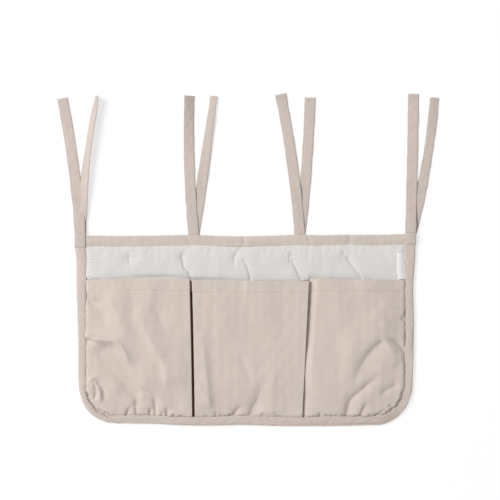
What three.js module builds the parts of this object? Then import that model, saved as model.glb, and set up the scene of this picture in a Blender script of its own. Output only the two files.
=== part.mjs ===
// Fabric crib organizer: a quilted hanging panel bound with tape, three pleated pockets, four pairs of ties.
// It lies on its back with the pockets up: X runs along the panel, Y towards the ties, Z out of the pockets.
// Millimetres. The origin is the middle of the flat back face.
import * as THREE from 'three';

// Driving dimensions of the panel
const panelTopWidth = 560;
const panelBottomWidth = 547;
const panelHeight = 311;
const cornerRadius = 64;
const sideTapeWidth = 17;
const topTapeWidth = 19;
const clothThickness = 0.8;
const clearance = 0.3;

// Quilting: thickness of the wadding inside the panel and under the side tape, and the sewn tacks
const waddingLoft = 6.3;
const waddingLoftAtTape = 3.2;
const crownRun = 45;
const tapeLedge = 6;
const waddingSetback = 10;
const backSettleRun = 24;
const tackPitch = 88;
const tackRowPitch = 76;
const tackShift = -15.6;
const tackFromTop = 30;
const tackRadius = 26;
const tackPull = 0.65;

// Pockets and the two inverted pleats between them
const mouthFromTop = 71;
const middleMouthDrop = 3;
const rightMouthDrop = 2;
const pocketHollow = 6;
const pocketSeamRun = 30;
const hemWidth = 19;
const hemThickness = 0.9;
const deepFoldRise = 2.4;
const softFoldRise = 1.4;
const foldSpread = 14;
const pleatDepth = 36;
const pleatSeamHalfWidth = 3;
const pleatFootRise = 20;
const leftPleatMouthX = -88.5;
const leftPleatFootX = -85.5;
const leftPleatGap = 4;
const rightPleatMouthX = 104.5;
const rightPleatFootX = 94.5;
const rightPleatGap = 1.2;

// Ties and the blank label
const tieWidth = 18;
const tieThickness = 0.9;
const tieLength = 231;
const tieTabLength = 30;
const tieTabReach = 1.2;
const tieRootStep = 1.5;
const outerTieInset = 9;
const leftTieX = -84.5;
const rightTieX = 88.5;
const labelLength = 18;
const labelHeight = 44;
const labelThickness = 0.4;
const labelFromTop = 26;
const labelOverTape = 6;

// Mesh resolution
const cornerSteps = 12;
const tieSteps = 18;
const columnsPerTack = 4;
const foldSegments = 6;
const gridRing = 8;
const cornerRowRises = [0, 1.5, 6];
const pocketRowSteps = 8;
const pocketCornerShares = [0, 0.04, 0.15, 0.35, 0.65, 1];
const pocketColumnShares = [0, 0.07, 0.15, 0.25, 0.36, 0.48, 0.6, 0.72, 0.82, 0.9, 0.96, 1];
const pleatRowShares = [0, 0.06, 0.5, 1];

// Levels of the layers, counted up from the surface that the back lies on
const halfHeight = panelHeight / 2;
const topTapeBase = 2 * tieThickness + 2 * clearance;
const sideFabricBase = clothThickness + clearance;
const topFabricBase = topTapeBase + clothThickness + clearance;
const innerSpace = waddingLoft + 2 * clearance;
const sideSpace = waddingLoftAtTape + 2 * clearance;
const quiltTop = 2 * clothThickness + innerSpace;
const sideTapeFrontBase = sideFabricBase + 2 * clothThickness + sideSpace + clearance;
const topTapeFrontBase = topFabricBase + 2 * clothThickness + 2 * clearance;
const pocketUnderside = quiltTop + pocketHollow;

// Outline: straight sides that lean out a little, a straight bottom and two round bottom corners
const sideLean = Math.atan2((panelTopWidth - panelBottomWidth) / 2, panelHeight);
const arcCentreY = -halfHeight + cornerRadius;
const sideX = (y) => panelBottomWidth / 2 + (y + halfHeight) * Math.tan(sideLean);
const arcCentreX = sideX(arcCentreY) - cornerRadius / Math.cos(sideLean);

// Half the width at height y of the outline moved in by the given inset
function halfWidth(y, inset) {
  const radius = cornerRadius - inset;
  const drop = arcCentreY - y;
  if (drop <= radius * Math.sin(sideLean)) return sideX(y) - inset / Math.cos(sideLean);
  return arcCentreX + Math.sqrt(Math.max(radius * radius - drop * drop, 0));
}

// Distance from the sides and bottom of the outline, with the round corners
function edgeDistance(x, y) {
  const across = Math.abs(x) - arcCentreX;
  const drop = arcCentreY - y;
  if (across > 0 && drop > 0) return cornerRadius - Math.hypot(across, drop);
  return Math.min((sideX(y) - Math.abs(x)) * Math.cos(sideLean), y + halfHeight);
}

// How far the straight steps of a round corner cut inside its arc
const cornerSag = cornerRadius * (1 - Math.cos(Math.PI / 4 / cornerSteps));

const topDistance = (y) => halfHeight - y;
const smooth = (value, from, to) => THREE.MathUtils.smoothstep(value, from, to);

// Closed body from rings of points, each ring a closed section, capped at both ends. The second half of a
// section is split along the other diagonal, so that a thin twisted strip keeps its thickness.
function loft(rings, section) {
  const turned = THREE.ShapeUtils.isClockWise(section);
  const contour = turned ? section.slice().reverse() : section;
  const loops = turned ? rings.map((ring) => ring.slice().reverse()) : rings;
  const count = contour.length;
  const positions = loops.flat().flatMap((p) => [p.x, p.y, p.z]);
  const triangles = [];
  for (let r = 0; r + 1 < loops.length; r += 1) {
    for (let k = 0; k < count; k += 1) {
      const a = r * count + k;
      const b = r * count + (k + 1) % count;
      const secondHalf = 2 * k >= count;
      if (secondHalf) triangles.push([a, b, a + count], [b, b + count, a + count]);
      else triangles.push([a, b, b + count], [a, b + count, a + count]);
    }
  }
  const last = (loops.length - 1) * count;
  for (const [a, b, c] of THREE.ShapeUtils.triangulateShape(contour, [])) {
    triangles.push([c, b, a], [last + a, last + b, last + c]);
  }
  return indexed(positions, outwards(positions, triangles).flat());
}

// Triangles turned so that they enclose a positive volume
function outwards(positions, triangles) {
  const corner = (k) => new THREE.Vector3().fromArray(positions, 3 * k);
  const volume = triangles.reduce((sum, [a, b, c]) => sum + corner(a).dot(corner(b).cross(corner(c))), 0);
  return volume > 0 ? triangles : triangles.map(([a, b, c]) => [c, b, a]);
}

function indexed(positions, indices) {
  const geometry = new THREE.BufferGeometry();
  geometry.setAttribute('position', new THREE.Float32BufferAttribute(positions, 3));
  geometry.setIndex(indices);
  geometry.computeVertexNormals();
  return geometry;
}

// Closed cloth body over a grid: rows are Y values, columnsAt(y) the X values, low and high the two faces
function sheet(rows, columnsAt, low, high) {
  const grid = rows.map((y) => columnsAt(y).map((x) => [x, y]));
  const columns = grid[0].length;
  const points = grid.flat();
  const half = points.length;
  const positions = [
    ...points.flatMap(([x, y]) => [x, y, low(x, y)]),
    ...points.flatMap(([x, y]) => [x, y, high(x, y)]),
  ];
  const indices = [];
  const quad = (a, b, c, d) => indices.push(a, b, c, a, c, d);
  for (let j = 0; j + 1 < rows.length; j += 1) {
    for (let i = 0; i + 1 < columns; i += 1) {
      const a = j * columns + i;
      quad(a, a + columns, a + columns + 1, a + 1);
      quad(half + a, half + a + 1, half + a + columns + 1, half + a + columns);
    }
  }
  const wall = (a, b) => quad(a, b, half + b, half + a);
  const lastRow = (rows.length - 1) * columns;
  for (let i = 0; i + 1 < columns; i += 1) {
    wall(i, i + 1);
    wall(lastRow + i + 1, lastRow + i);
  }
  for (let j = 0; j + 1 < rows.length; j += 1) {
    wall((j + 1) * columns, j * columns);
    wall(j * columns + columns - 1, (j + 1) * columns + columns - 1);
  }
  return indexed(positions, indices);
}

function extruded(shape, depth) {
  return new THREE.ExtrudeGeometry(shape, { depth, bevelEnabled: false, curveSegments: foldSegments });
}

// Section in the plane across the panel, swept straight along X
function sweptAlongX(shape, from, to) {
  const geometry = extruded(shape, to - from);
  const axes = new THREE.Matrix4().makeBasis(
    new THREE.Vector3(0, 1, 0), new THREE.Vector3(0, 0, 1), new THREE.Vector3(1, 0, 0));
  geometry.applyMatrix4(axes);
  return geometry.translate(from, 0, 0);
}

// Heights of the quilted panel's layers
function backLow(x, y) {
  const fromSide = sideFabricBase * (1 - smooth(edgeDistance(x, y),
    sideTapeWidth + tapeLedge, sideTapeWidth + tapeLedge + backSettleRun));
  const fromTop = topFabricBase * (1 - smooth(topDistance(y),
    topTapeWidth + tapeLedge, topTapeWidth + tapeLedge + backSettleRun));
  return Math.max(fromSide, fromTop);
}

const backHigh = (x, y) => backLow(x, y) + clothThickness;

// How hard the nearest sewn tack pulls the front down, from 0 to 1
function tackDip(x, y) {
  const row = Math.round((topDistance(y) - tackFromTop) / tackRowPitch);
  const rowShift = row % 2 === 0 ? 0 : tackPitch / 2;
  const along = (x - tackShift - rowShift) / tackPitch;
  const dx = (along - Math.round(along)) * tackPitch;
  const dy = topDistance(y) - tackFromTop - row * tackRowPitch;
  return 1 - smooth(Math.hypot(dx, dy), 0, tackRadius);
}

function frontLow(x, y) {
  const bySide = THREE.MathUtils.lerp(sideSpace, innerSpace,
    smooth(edgeDistance(x, y), sideTapeWidth, sideTapeWidth + crownRun));
  const byTop = THREE.MathUtils.lerp(clearance, innerSpace,
    smooth(topDistance(y), topTapeWidth, topTapeWidth + crownRun));
  const space = Math.min(bySide, byTop);
  const pressed = Math.min(space, sideSpace / 2);
  return backHigh(x, y) + THREE.MathUtils.lerp(space, pressed, tackPull * tackDip(x, y));
}

const frontHigh = (x, y) => frontLow(x, y) + clothThickness;

// Grid of the panel: rows follow the round corners, the tapes' edges and the tack rows
const fabricInset = clothThickness + clearance + cornerSag;
const waddingInset = topTapeWidth + waddingSetback;
const settledInset = sideTapeWidth + tapeLedge + backSettleRun;
const sideRings = [fabricInset, sideTapeWidth, sideTapeWidth + gridRing, settledInset];

function panelRows() {
  const lastRing = sideTapeWidth + gridRing;
  const rises = [...cornerRowRises.map((rise) => fabricInset + rise), sideTapeWidth, lastRing,
    (lastRing + cornerRadius) / 2];
  const rows = rises.map((rise) => rise - halfHeight);
  const firstTackRow = halfHeight - tackFromTop;
  const rowStep = tackRowPitch / columnsPerTack;
  const upper = [];
  for (let y = firstTackRow; y > arcCentreY + rowStep / 2; y -= rowStep) upper.unshift(y);
  rows.push(arcCentreY, ...upper);
  const top = [topTapeWidth + tapeLedge, topTapeWidth, fabricInset].map((drop) => halfHeight - drop);
  return [...rows, ...top].filter((y, k, all) => k === 0 || y - all[k - 1] > clearance);
}

// X values across one row: rings beside the tape, then even columns that line up with the tacks
function panelColumns(y, tackColumns) {
  const outer = halfWidth(y, 0);
  const scale = (outer - settledInset) / (panelTopWidth / 2 - settledInset);
  const [, ...innerRings] = sideRings;
  const rings = [halfWidth(y, fabricInset), ...innerRings.map((inset) => outer - inset)];
  const middle = tackColumns.map((x) => x * scale);
  return [...rings.map((x) => -x), ...middle, ...rings.slice().reverse()];
}

function tackColumns() {
  const step = tackPitch / columnsPerTack;
  const reach = panelTopWidth / 2 - settledInset - step / 2;
  const columns = [];
  for (let k = Math.ceil((-reach - tackShift) / step); tackShift + k * step < reach; k += 1) {
    columns.push(tackShift + k * step);
  }
  return columns;
}

const rows = panelRows();
const columnsOfTacks = tackColumns();

function backFabric() {
  return sheet(rows, (y) => panelColumns(y, [0]), backLow, backHigh);
}

function frontFabric() {
  return sheet(rows, (y) => panelColumns(y, columnsOfTacks), frontLow, frontHigh);
}

// The wadding stops short of the top tape and of the side tape's stitching
function batting() {
  const inner = rows.filter((y) => topDistance(y) >= waddingInset && y + halfHeight >= sideTapeWidth);
  const columnsAt = (y) => panelColumns(y, columnsOfTacks).slice(1, -1);
  return sheet(inner, columnsAt,
    (x, y) => backHigh(x, y) + clearance, (x, y) => frontLow(x, y) - clearance);
}

// Side tape: one tape folded round the left edge, the bottom and the right edge
function sideTape() {
  const front = sideTapeFrontBase;
  const section = [
    [clothThickness, 0], [sideTapeWidth, 0],
    [sideTapeWidth, clothThickness], [clothThickness, clothThickness],
    [clothThickness, front], [sideTapeWidth, front],
    [sideTapeWidth, front + clothThickness], [clothThickness, front + clothThickness],
    [0, front], [0, clothThickness],
  ].map(([inward, z]) => new THREE.Vector2(inward, z));
  const stations = [{ x: -sideX(halfHeight), y: halfHeight, angle: sideLean }];
  for (let k = 0; k <= cornerSteps; k += 1) {
    const angle = sideLean + (k / cornerSteps) * (Math.PI / 2 - sideLean);
    stations.push({
      x: -arcCentreX - cornerRadius * Math.cos(angle), y: arcCentreY - cornerRadius * Math.sin(angle), angle,
    });
  }
  const mirror = ({ x, y, angle }) => ({ x: -x, y, angle: Math.PI - angle });
  const mirrored = stations.slice().reverse().map(mirror);
  const rings = [...stations, ...mirrored].map(({ x, y, angle }, k, all) => {
    const flat = k === 0 || k === all.length - 1;
    const along = flat ? 0 : Math.sin(angle);
    const across = flat ? Math.sign(-x) / Math.cos(sideLean) : Math.cos(angle);
    return section.map((p) => new THREE.Vector3(x + across * p.x, y + along * p.x, p.y));
  });
  return loft(rings, section);
}

// Top tape: folded over the top edge, with its ends inside the side tape
function topTape() {
  const low = topTapeBase;
  const high = topTapeFrontBase + clothThickness;
  const foot = halfHeight - topTapeWidth;
  const shape = new THREE.Shape();
  shape.moveTo(foot, low);
  shape.lineTo(halfHeight - clothThickness, low);
  shape.lineTo(halfHeight, low + clothThickness);
  shape.lineTo(halfHeight, high - clothThickness);
  shape.lineTo(halfHeight - clothThickness, high);
  shape.lineTo(foot, high);
  shape.lineTo(foot, high - clothThickness);
  shape.lineTo(halfHeight - clothThickness, high - clothThickness);
  shape.lineTo(halfHeight - clothThickness, low + clothThickness);
  shape.lineTo(foot, low + clothThickness);
  const reach = sideX(foot) - clothThickness / Math.cos(sideLean) - clearance;
  return sweptAlongX(shape, -reach, reach);
}

// Pockets: the seam line that the pocket cloth is caught on, and the height of the cloth's underside
const seamInset = sideTapeWidth + clearance + cornerSag;
const pocketSeamY = -halfHeight + seamInset;
const mouthY = halfHeight - mouthFromTop;
const pleatLine = (mouthX, footX) => (y) => THREE.MathUtils.mapLinear(y, pocketSeamY, mouthY, footX, mouthX);
const leftPleatX = pleatLine(leftPleatMouthX, leftPleatFootX);
const rightPleatX = pleatLine(rightPleatMouthX, rightPleatFootX);

function clothUnderside(seamDistance) {
  return THREE.MathUtils.lerp(sideTapeFrontBase, pocketUnderside, smooth(seamDistance, 0, pocketSeamRun));
}

// Soft folds that lie on a pocket: each runs between two points, given as shares of the pocket's width and
// height from its lower left corner, and fades out at its ends
const leftFolds = [
  { from: [0, 0.35], to: [0.66, 0.05], rise: deepFoldRise },
  { from: [0.28, 0.03], to: [0.81, 0.44], rise: softFoldRise },
  { from: [0.9, 0.13], to: [0.86, 0.8], rise: softFoldRise },
];
const middleFolds = [
  { from: [0.04, 0.22], to: [0.3, 0.9], rise: softFoldRise },
  { from: [0.9, 0.08], to: [0.67, 0.76], rise: softFoldRise },
];
const rightFolds = [
  { from: [1, 0.4], to: [0.4, 0.06], rise: deepFoldRise },
  { from: [0.1, 0.12], to: [0.65, 0.54], rise: softFoldRise },
  { from: [0.1, 0.9], to: [0.55, 0.72], rise: softFoldRise },
];

function foldHeight(folds, place, x, y) {
  let height = 0;
  for (const { from, to, rise } of folds) {
    const start = place(...from);
    const along = place(...to).sub(start);
    const run = along.length();
    const here = new THREE.Vector2(x, y).sub(start);
    const share = THREE.MathUtils.clamp(here.dot(along) / (run * run), 0, 1);
    const aside = here.cross(along) / run;
    height += rise * Math.sin(Math.PI * share) * Math.exp(-((aside / foldSpread) ** 2));
  }
  return height;
}

function pocketRows(mouth) {
  const innerRadius = cornerRadius - seamInset;
  const lower = pocketCornerShares.map((share) => pocketSeamY + share * innerRadius);
  const hemEdge = mouth - hemWidth;
  const upper = [];
  for (let k = 1; k <= pocketRowSteps; k += 1) {
    upper.push(THREE.MathUtils.lerp(pocketSeamY + innerRadius, hemEdge - clothThickness, k / pocketRowSteps));
  }
  return [...lower, ...upper, hemEdge, mouth];
}

// One pocket front between two side lines, with its hem turned in along the mouth
function pocketFront(leftEdge, rightEdge, mouth, folds) {
  const columnsAt = (y) => pocketColumnShares.map((share) =>
    THREE.MathUtils.lerp(leftEdge(y), rightEdge(y), share));
  const underside = (x, y) => clothUnderside(edgeDistance(x, y) - seamInset);
  const inHem = (y) => y > mouth - hemWidth - clothThickness / 2;
  const low = (x, y) => Math.max(underside(x, y) - (inHem(y) ? hemThickness : 0), sideTapeFrontBase);
  const place = (across, up) => {
    const y = THREE.MathUtils.lerp(pocketSeamY, mouth, up);
    return new THREE.Vector2(THREE.MathUtils.lerp(leftEdge(y), rightEdge(y), across), y);
  };
  const raised = (x, y) =>
    foldHeight(folds, place, x, y) * smooth(edgeDistance(x, y) - seamInset, 0, pocketSeamRun);
  const high = (x, y) => underside(x, y) + clothThickness + raised(x, y);
  return sheet(pocketRows(mouth), columnsAt, low, high);
}

const seamEdge = (side) => (y) => side * halfWidth(y, seamInset);
const besidePleat = (line, offset) => (y) => line(y) + offset;

function leftPocket() {
  return pocketFront(seamEdge(-1), besidePleat(leftPleatX, -leftPleatGap / 2), mouthY, leftFolds);
}

function middlePocket() {
  return pocketFront(besidePleat(leftPleatX, leftPleatGap / 2), besidePleat(rightPleatX, -rightPleatGap / 2),
    mouthY - middleMouthDrop, middleFolds);
}

function rightPocket() {
  return pocketFront(besidePleat(rightPleatX, rightPleatGap / 2), seamEdge(1),
    mouthY - rightMouthDrop, rightFolds);
}

// Inverted pleat: two returns under the pocket folds and an underlay that is sewn to the panel in the middle
function pleat(line, gap, mouth) {
  const inner = gap / 2 + clothThickness;
  const outer = inner + pleatDepth;
  const slopeEnd = pleatSeamHalfWidth + pocketHollow;
  const sectionAt = (y) => {
    const returnTop = clothUnderside(y - pocketSeamY) - hemThickness - clearance;
    const returnLow = returnTop - clothThickness;
    const underlayTop = returnLow - clearance;
    const underlayLow = underlayTop - clothThickness;
    const seamLow = Math.min(quiltTop + clearance, underlayLow);
    const outside = [[inner, returnTop], [outer, returnTop], [outer, underlayLow],
      [slopeEnd, underlayLow], [pleatSeamHalfWidth, seamLow]];
    const turn = outer - clothThickness;
    const inside = [[inner, returnLow], [turn, returnLow], [turn, underlayTop],
      [slopeEnd, underlayTop], [pleatSeamHalfWidth, seamLow + clothThickness]];
    const mirror = (points) => points.map(([x, z]) => [-x, z]);
    return [...outside, ...mirror(outside).reverse(), ...mirror(inside), ...inside.slice().reverse()];
  };
  const stations = pleatRowShares.map((share) =>
    THREE.MathUtils.lerp(pocketSeamY + pleatFootRise, mouth, share));
  const ring = (y) => sectionAt(y).map(([x, z]) => new THREE.Vector3(line(y) + x, y, z));
  const section = sectionAt(stations[0]).map(([x, z]) => new THREE.Vector2(x, z));
  return loft(stations.map(ring), section);
}

// Ties: how far each leans to the right and twists at its tip, in degrees, and its bow as a share of its
// length
const outerTieX = panelTopWidth / 2 - outerTieInset;
const outerTieBase = clothThickness + clearance;
const tiePairs = [
  {
    x: -outerTieX,
    base: outerTieBase,
    back: { lean: 6.4, bow: -0.02, twist: 66 },
    front: { lean: -7.4, bow: 0.015, twist: 0 },
  },
  {
    x: leftTieX,
    base: 0,
    back: { lean: 7.6, bow: 0.004, twist: 60 },
    front: { lean: -1.9, bow: -0.004, twist: 0 },
  },
  {
    x: rightTieX,
    base: 0,
    back: { lean: 4.2, bow: 0.011, twist: 0 },
    front: { lean: -7.3, bow: 0.013, twist: 0 },
  },
  {
    x: outerTieX,
    base: outerTieBase,
    back: { lean: 9.5, bow: 0.017, twist: 0 },
    front: { lean: 1.5, bow: 0.002, twist: 0 },
  },
];
const tieStartY = halfHeight + tieTabReach + clearance;
const tieDropShare = 0.2;

function tieRoute(tail) {
  const tip = new THREE.Vector2(tieLength * Math.tan(THREE.MathUtils.degToRad(tail.lean)), tieLength);
  const halfWay = new THREE.Vector2(tip.x / 2 + 2 * tail.bow * tieLength, tieLength / 2);
  return new THREE.QuadraticBezierCurve(new THREE.Vector2(0, 0), halfWay, tip);
}

// Share of the length at which the two ties of a pair no longer lie on each other
function partedShare(pair) {
  const back = tieRoute(pair.back);
  const front = tieRoute(pair.front);
  const apart = (t) => back.getPoint(t).x - front.getPoint(t).x > tieWidth + tieRootStep;
  let step = 0;
  while (step < tieSteps && !apart(step / tieSteps)) step += 1;
  return step / tieSteps;
}

// One tie tail: a flat tape that leaves the top edge, settles on the surface and may twist towards its tip
function tie(pair, tail, isFront) {
  const startY = tieStartY + (isFront ? tieRootStep : 0);
  const parted = partedShare(pair);
  const settled = (t) => 1 - smooth(t, 0, tieDropShare);
  const overBack = (t) => 1 - smooth(t, parted, parted + tieDropShare);
  const lift = (t) => pair.base * settled(t) + (isFront ? (tieThickness + clearance) * overBack(t) : 0);
  const route = tieRoute(tail);
  const rings = [];
  for (let k = 0; k <= tieSteps; k += 1) {
    const t = k / tieSteps;
    const point = route.getPoint(t);
    const along = new THREE.Vector2(0, 1).lerp(route.getTangent(t), smooth(t, 0, tieDropShare)).normalize();
    const twist = THREE.MathUtils.degToRad(tail.twist) * smooth(t, parted, 1);
    const across = new THREE.Vector3(along.y * Math.cos(twist), -along.x * Math.cos(twist), Math.sin(twist));
    const up = new THREE.Vector3(-along.y * Math.sin(twist), along.x * Math.sin(twist), Math.cos(twist));
    const rise = lift(t) + (tieWidth * Math.sin(twist) + tieThickness * Math.cos(twist)) / 2;
    const centre = new THREE.Vector3(pair.x + point.x, startY + point.y, rise);
    rings.push(tieCorners.map((c) => centre.clone().addScaledVector(across, c.x).addScaledVector(up, c.y)));
  }
  return loft(rings, tieCorners);
}

const tieCorners = [[-1, -1], [1, -1], [1, 1], [-1, 1]].map(([side, face]) =>
  new THREE.Vector2(side * tieWidth / 2, face * tieThickness / 2));

// Tab of a middle pair: one strap folded in half and sewn in behind the top tape
function foldedTab(x) {
  const end = halfHeight + tieTabReach;
  const turn = halfHeight - tieTabLength;
  const outer = tieThickness + clearance / 2;
  const inner = clearance / 2;
  const shape = new THREE.Shape();
  shape.moveTo(end, 0);
  shape.lineTo(end, tieThickness);
  shape.lineTo(turn, tieThickness);
  shape.absarc(turn, outer, inner, -Math.PI / 2, Math.PI / 2, true);
  shape.lineTo(end, outer + inner);
  shape.lineTo(end, 2 * outer);
  shape.lineTo(turn, 2 * outer);
  shape.absarc(turn, outer, outer, Math.PI / 2, -Math.PI / 2, false);
  return sweptAlongX(shape, x - tieWidth / 2, x + tieWidth / 2);
}

// Tab of an outer pair: a single strap end between the side tape's back and the top tape
function singleTab(x) {
  const shape = new THREE.Shape();
  shape.moveTo(halfHeight - tieTabLength, outerTieBase);
  shape.lineTo(halfHeight + tieTabReach, outerTieBase);
  shape.lineTo(halfHeight + tieTabReach, outerTieBase + tieThickness);
  shape.lineTo(halfHeight - tieTabLength, outerTieBase + tieThickness);
  const wallX = halfWidth(halfHeight - tieTabLength, fabricInset);
  const reach = Math.min(tieWidth / 2, wallX - outerTieX);
  return sweptAlongX(shape, x - reach, x + reach);
}

// Label: a blank strip folded double, held at the right-hand tape with its fold lying over the quilting
function label() {
  const rootX = sideX(halfHeight - labelFromTop - labelHeight) - sideTapeWidth + labelOverTape;
  const low = sideTapeFrontBase + clothThickness + clearance;
  const outer = labelThickness + clearance / 2;
  const inner = clearance / 2;
  const shape = new THREE.Shape();
  shape.moveTo(rootX, low);
  shape.lineTo(rootX, low + labelThickness);
  shape.lineTo(rootX - labelLength, low + labelThickness);
  shape.absarc(rootX - labelLength, low + outer, inner, -Math.PI / 2, Math.PI / 2, true);
  shape.lineTo(rootX, low + outer + inner);
  shape.lineTo(rootX, low + 2 * outer);
  shape.lineTo(rootX - labelLength, low + 2 * outer);
  shape.absarc(rootX - labelLength, low + outer, outer, Math.PI / 2, -Math.PI / 2, false);
  const geometry = extruded(shape, labelHeight);
  geometry.rotateX(Math.PI / 2);
  return geometry.translate(0, halfHeight - labelFromTop, 0);
}

// Assembly
const beigeCotton = { color: 0xd1c5bb, roughness: 0.9, metalness: 0 };
const beigeTape = { color: 0xcdc0b6, roughness: 0.88, metalness: 0 };
const whiteCotton = { color: 0xe0dfdb, roughness: 0.9, metalness: 0 };
const whiteWadding = { color: 0xf2f1ee, roughness: 1, metalness: 0 };
const labelRibbon = { color: 0xf0efec, roughness: 0.7, metalness: 0 };
const organizer = new THREE.Group();

function addPiece(name, geometry, finish) {
  const mesh = new THREE.Mesh(geometry, new THREE.MeshStandardMaterial(finish));
  mesh.name = name;
  organizer.add(mesh);
}

addPiece('back_fabric', backFabric(), whiteCotton);
addPiece('batting', batting(), whiteWadding);
addPiece('front_fabric', frontFabric(), whiteCotton);
addPiece('binding_top', topTape(), beigeTape);
addPiece('binding_side', sideTape(), beigeTape);
addPiece('pocket_left', leftPocket(), beigeCotton);
addPiece('pocket_middle', middlePocket(), beigeCotton);
addPiece('pocket_right', rightPocket(), beigeCotton);
addPiece('pleat_left', pleat(leftPleatX, leftPleatGap, mouthY - middleMouthDrop), beigeCotton);
addPiece('pleat_right', pleat(rightPleatX, rightPleatGap, mouthY - middleMouthDrop), beigeCotton);
tiePairs.forEach((pair, k) => {
  const tab = pair.base === 0 ? foldedTab(pair.x) : singleTab(pair.x);
  addPiece(`tie_${k + 1}_tab`, tab, beigeTape);
  addPiece(`tie_${k + 1}_back`, tie(pair, pair.back, false), beigeTape);
  addPiece(`tie_${k + 1}_front`, tie(pair, pair.front, true), beigeTape);
});
addPiece('label', label(), labelRibbon);

export default organizer;
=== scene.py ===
import math

import bpy
import numpy as np
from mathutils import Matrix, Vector
from mathutils.bvhtree import BVHTree


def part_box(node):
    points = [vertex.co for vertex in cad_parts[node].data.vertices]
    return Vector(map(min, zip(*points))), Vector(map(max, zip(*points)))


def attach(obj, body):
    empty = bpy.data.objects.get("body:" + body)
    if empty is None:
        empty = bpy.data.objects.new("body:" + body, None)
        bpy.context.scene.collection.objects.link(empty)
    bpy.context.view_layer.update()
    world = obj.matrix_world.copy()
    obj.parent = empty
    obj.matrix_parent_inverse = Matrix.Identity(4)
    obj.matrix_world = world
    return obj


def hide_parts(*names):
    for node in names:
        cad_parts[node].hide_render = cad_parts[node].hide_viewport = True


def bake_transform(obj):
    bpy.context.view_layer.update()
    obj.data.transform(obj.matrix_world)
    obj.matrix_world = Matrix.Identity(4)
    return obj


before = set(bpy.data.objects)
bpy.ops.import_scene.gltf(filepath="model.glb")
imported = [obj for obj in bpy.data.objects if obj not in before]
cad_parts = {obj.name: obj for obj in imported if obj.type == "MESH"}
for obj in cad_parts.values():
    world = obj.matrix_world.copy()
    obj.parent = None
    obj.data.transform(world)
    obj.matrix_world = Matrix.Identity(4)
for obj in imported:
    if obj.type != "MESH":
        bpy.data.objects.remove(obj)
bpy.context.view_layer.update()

# Crib organizer: a quilted cotton panel bound with tape, three pleated pockets, four pairs of ties and a
# blank label. Sizes are millimetres and become metres when a mesh is made. X runs along the panel, Y towards
# the ties and Z out of the pockets.
MM = 0.001


def node_box(name):
    low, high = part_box(name)
    return np.array(low) / MM, np.array(high) / MM


# Panel outline, taken from the frame
_, tape_high = node_box("binding_side")
HALF_HEIGHT = tape_high[1]
TOP_HALF_WIDTH = tape_high[0]
BOTTOM_HALF_WIDTH = 273.5
CORNER_RADIUS = 64
SIDE_TAPE_WIDTH = 17
TOP_TAPE_WIDTH = 19
TOP_TAPE_SHOWN = 17.2
LEFT_TAPE_END = 0.4
RIGHT_TAPE_END = -2.6
CLOTH = 0.7
TAPE_THICKNESS = 0.6
PLEAT_THICKNESS = 0.5
PATCH_THICKNESS = 0.4
TAB_THICKNESS = 0.85
RIBBON_THICKNESS = 0.3

# Quilting
TACK_PITCH = 88
TACK_ROW_PITCH = 76
TACK_SHIFT = -15.6
TACK_FROM_TOP = 29.5
TACK_REACH = 225
TACK_ROWS = 4
QUILT_STEP = 4.6
HIDDEN_ROW_STEP = 3
SHOWN_ROW_STEP = 0.17
COLUMN_DETAIL = 6
QUILT_INSET = 9.0
QUILT_EDGE_Z = 4.6
QUILT_CROWN_Z = 8.6
QUILT_FLOOR_Z = 1.2
TACK_Z = 7.2
QUILT_HIDDEN_Z = 7.0
PLEAT_GROOVE = 3.0
TACK_WANDER = [(1.9, -3.8), (2.1, 0.8), (0.8, -1.2), (4.8, -0.9), (1.6, 1.6)]
BACK_RISE_AT_SIDE = 1.1
BACK_RISE_AT_TOP = 3.5
BACK_FALL_FROM_SIDE = (23, 47)
BACK_FALL_FROM_TOP = (25, 49)
PILLOW_START = 1.5
PILLOW_RUN = 6
HIDDEN_RUN = 40
MOUTH_DIP = 3.6
MOUTH_DIPS = [(1, -110, 70), (0.6, 112, 20)]
SWELL_AT_MOUTH = 0.3
SWELL_ABOVE = 1.8
SEAM_DIP = 1.6
TACK_SPREAD = 4.5
PUCKER_PITCH = 5.8
BACK_CLOTH_INSET = 3.5
BACK_CLOTH_Z = 0.05

# Pockets and pleats
LEFT_MOUTH = node_box("pocket_left")[1][1]
MIDDLE_MOUTH = node_box("pocket_middle")[1][1]
RIGHT_MOUTH = node_box("pocket_right")[1][1]
POCKET_TUCK_INSET = 10.5
POCKET_TUCK_Z = 5.8
SEAM_INSET = 14
POCKET_SEAM_Z = 9.5
POCKET_TOP_Z = 15.4
POCKET_SEAM_START = 0.4
POCKET_SEAM_RUN = 2.0
POCKET_RISE_RUN = 70
HEM = 19
HEM_TURN = 0.9
LEFT_PLEAT = (-88.5, -84.2, 1.5)
RIGHT_PLEAT = (105, 94, 1.0)
LEFT_PLEAT_GAP = 4.0
RIGHT_PLEAT_GAP = 0.3
PLEAT_DEPTH = 33
PLEAT_FOOT_RISE = 1
PLEAT_LOW_Z = 6.6
POCKET_STEP = 1.1
FOLD_STRENGTH = 1.85
ROUTE_STEP = 1.1

# Ties: where each starts, its length, how far it leans to the right and is turned at its tip, in degrees, its
# bow as a share of its length, how far its root is lifted, how slim it is drawn and where along it
TIE_WIDTH = 18
TIE_THICKNESS = 0.9
TIE_FALL = 45
TIE_STATIONS = 170
OUTER_TIE_BASE = 1.1
TAB_LENGTH = 30
TAB_ROWS = (7, 24)
TIE_ROW_INSET = 1.8


def tail(start, length, lean, bow, seed, twist=0, turning=(0.3, 1.0), root=0.0, slim=1.0, drawn=(0.15, 0.6)):
    return {"start": start, "length": length, "lean": lean, "bow": bow, "seed": seed, "twist": twist,
            "turning": turning, "root": root, "slim": slim, "drawn": drawn}


def tie_pair(x, base, back, front):
    return {"x": x, "base": base, "back": back, "front": front}


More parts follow.
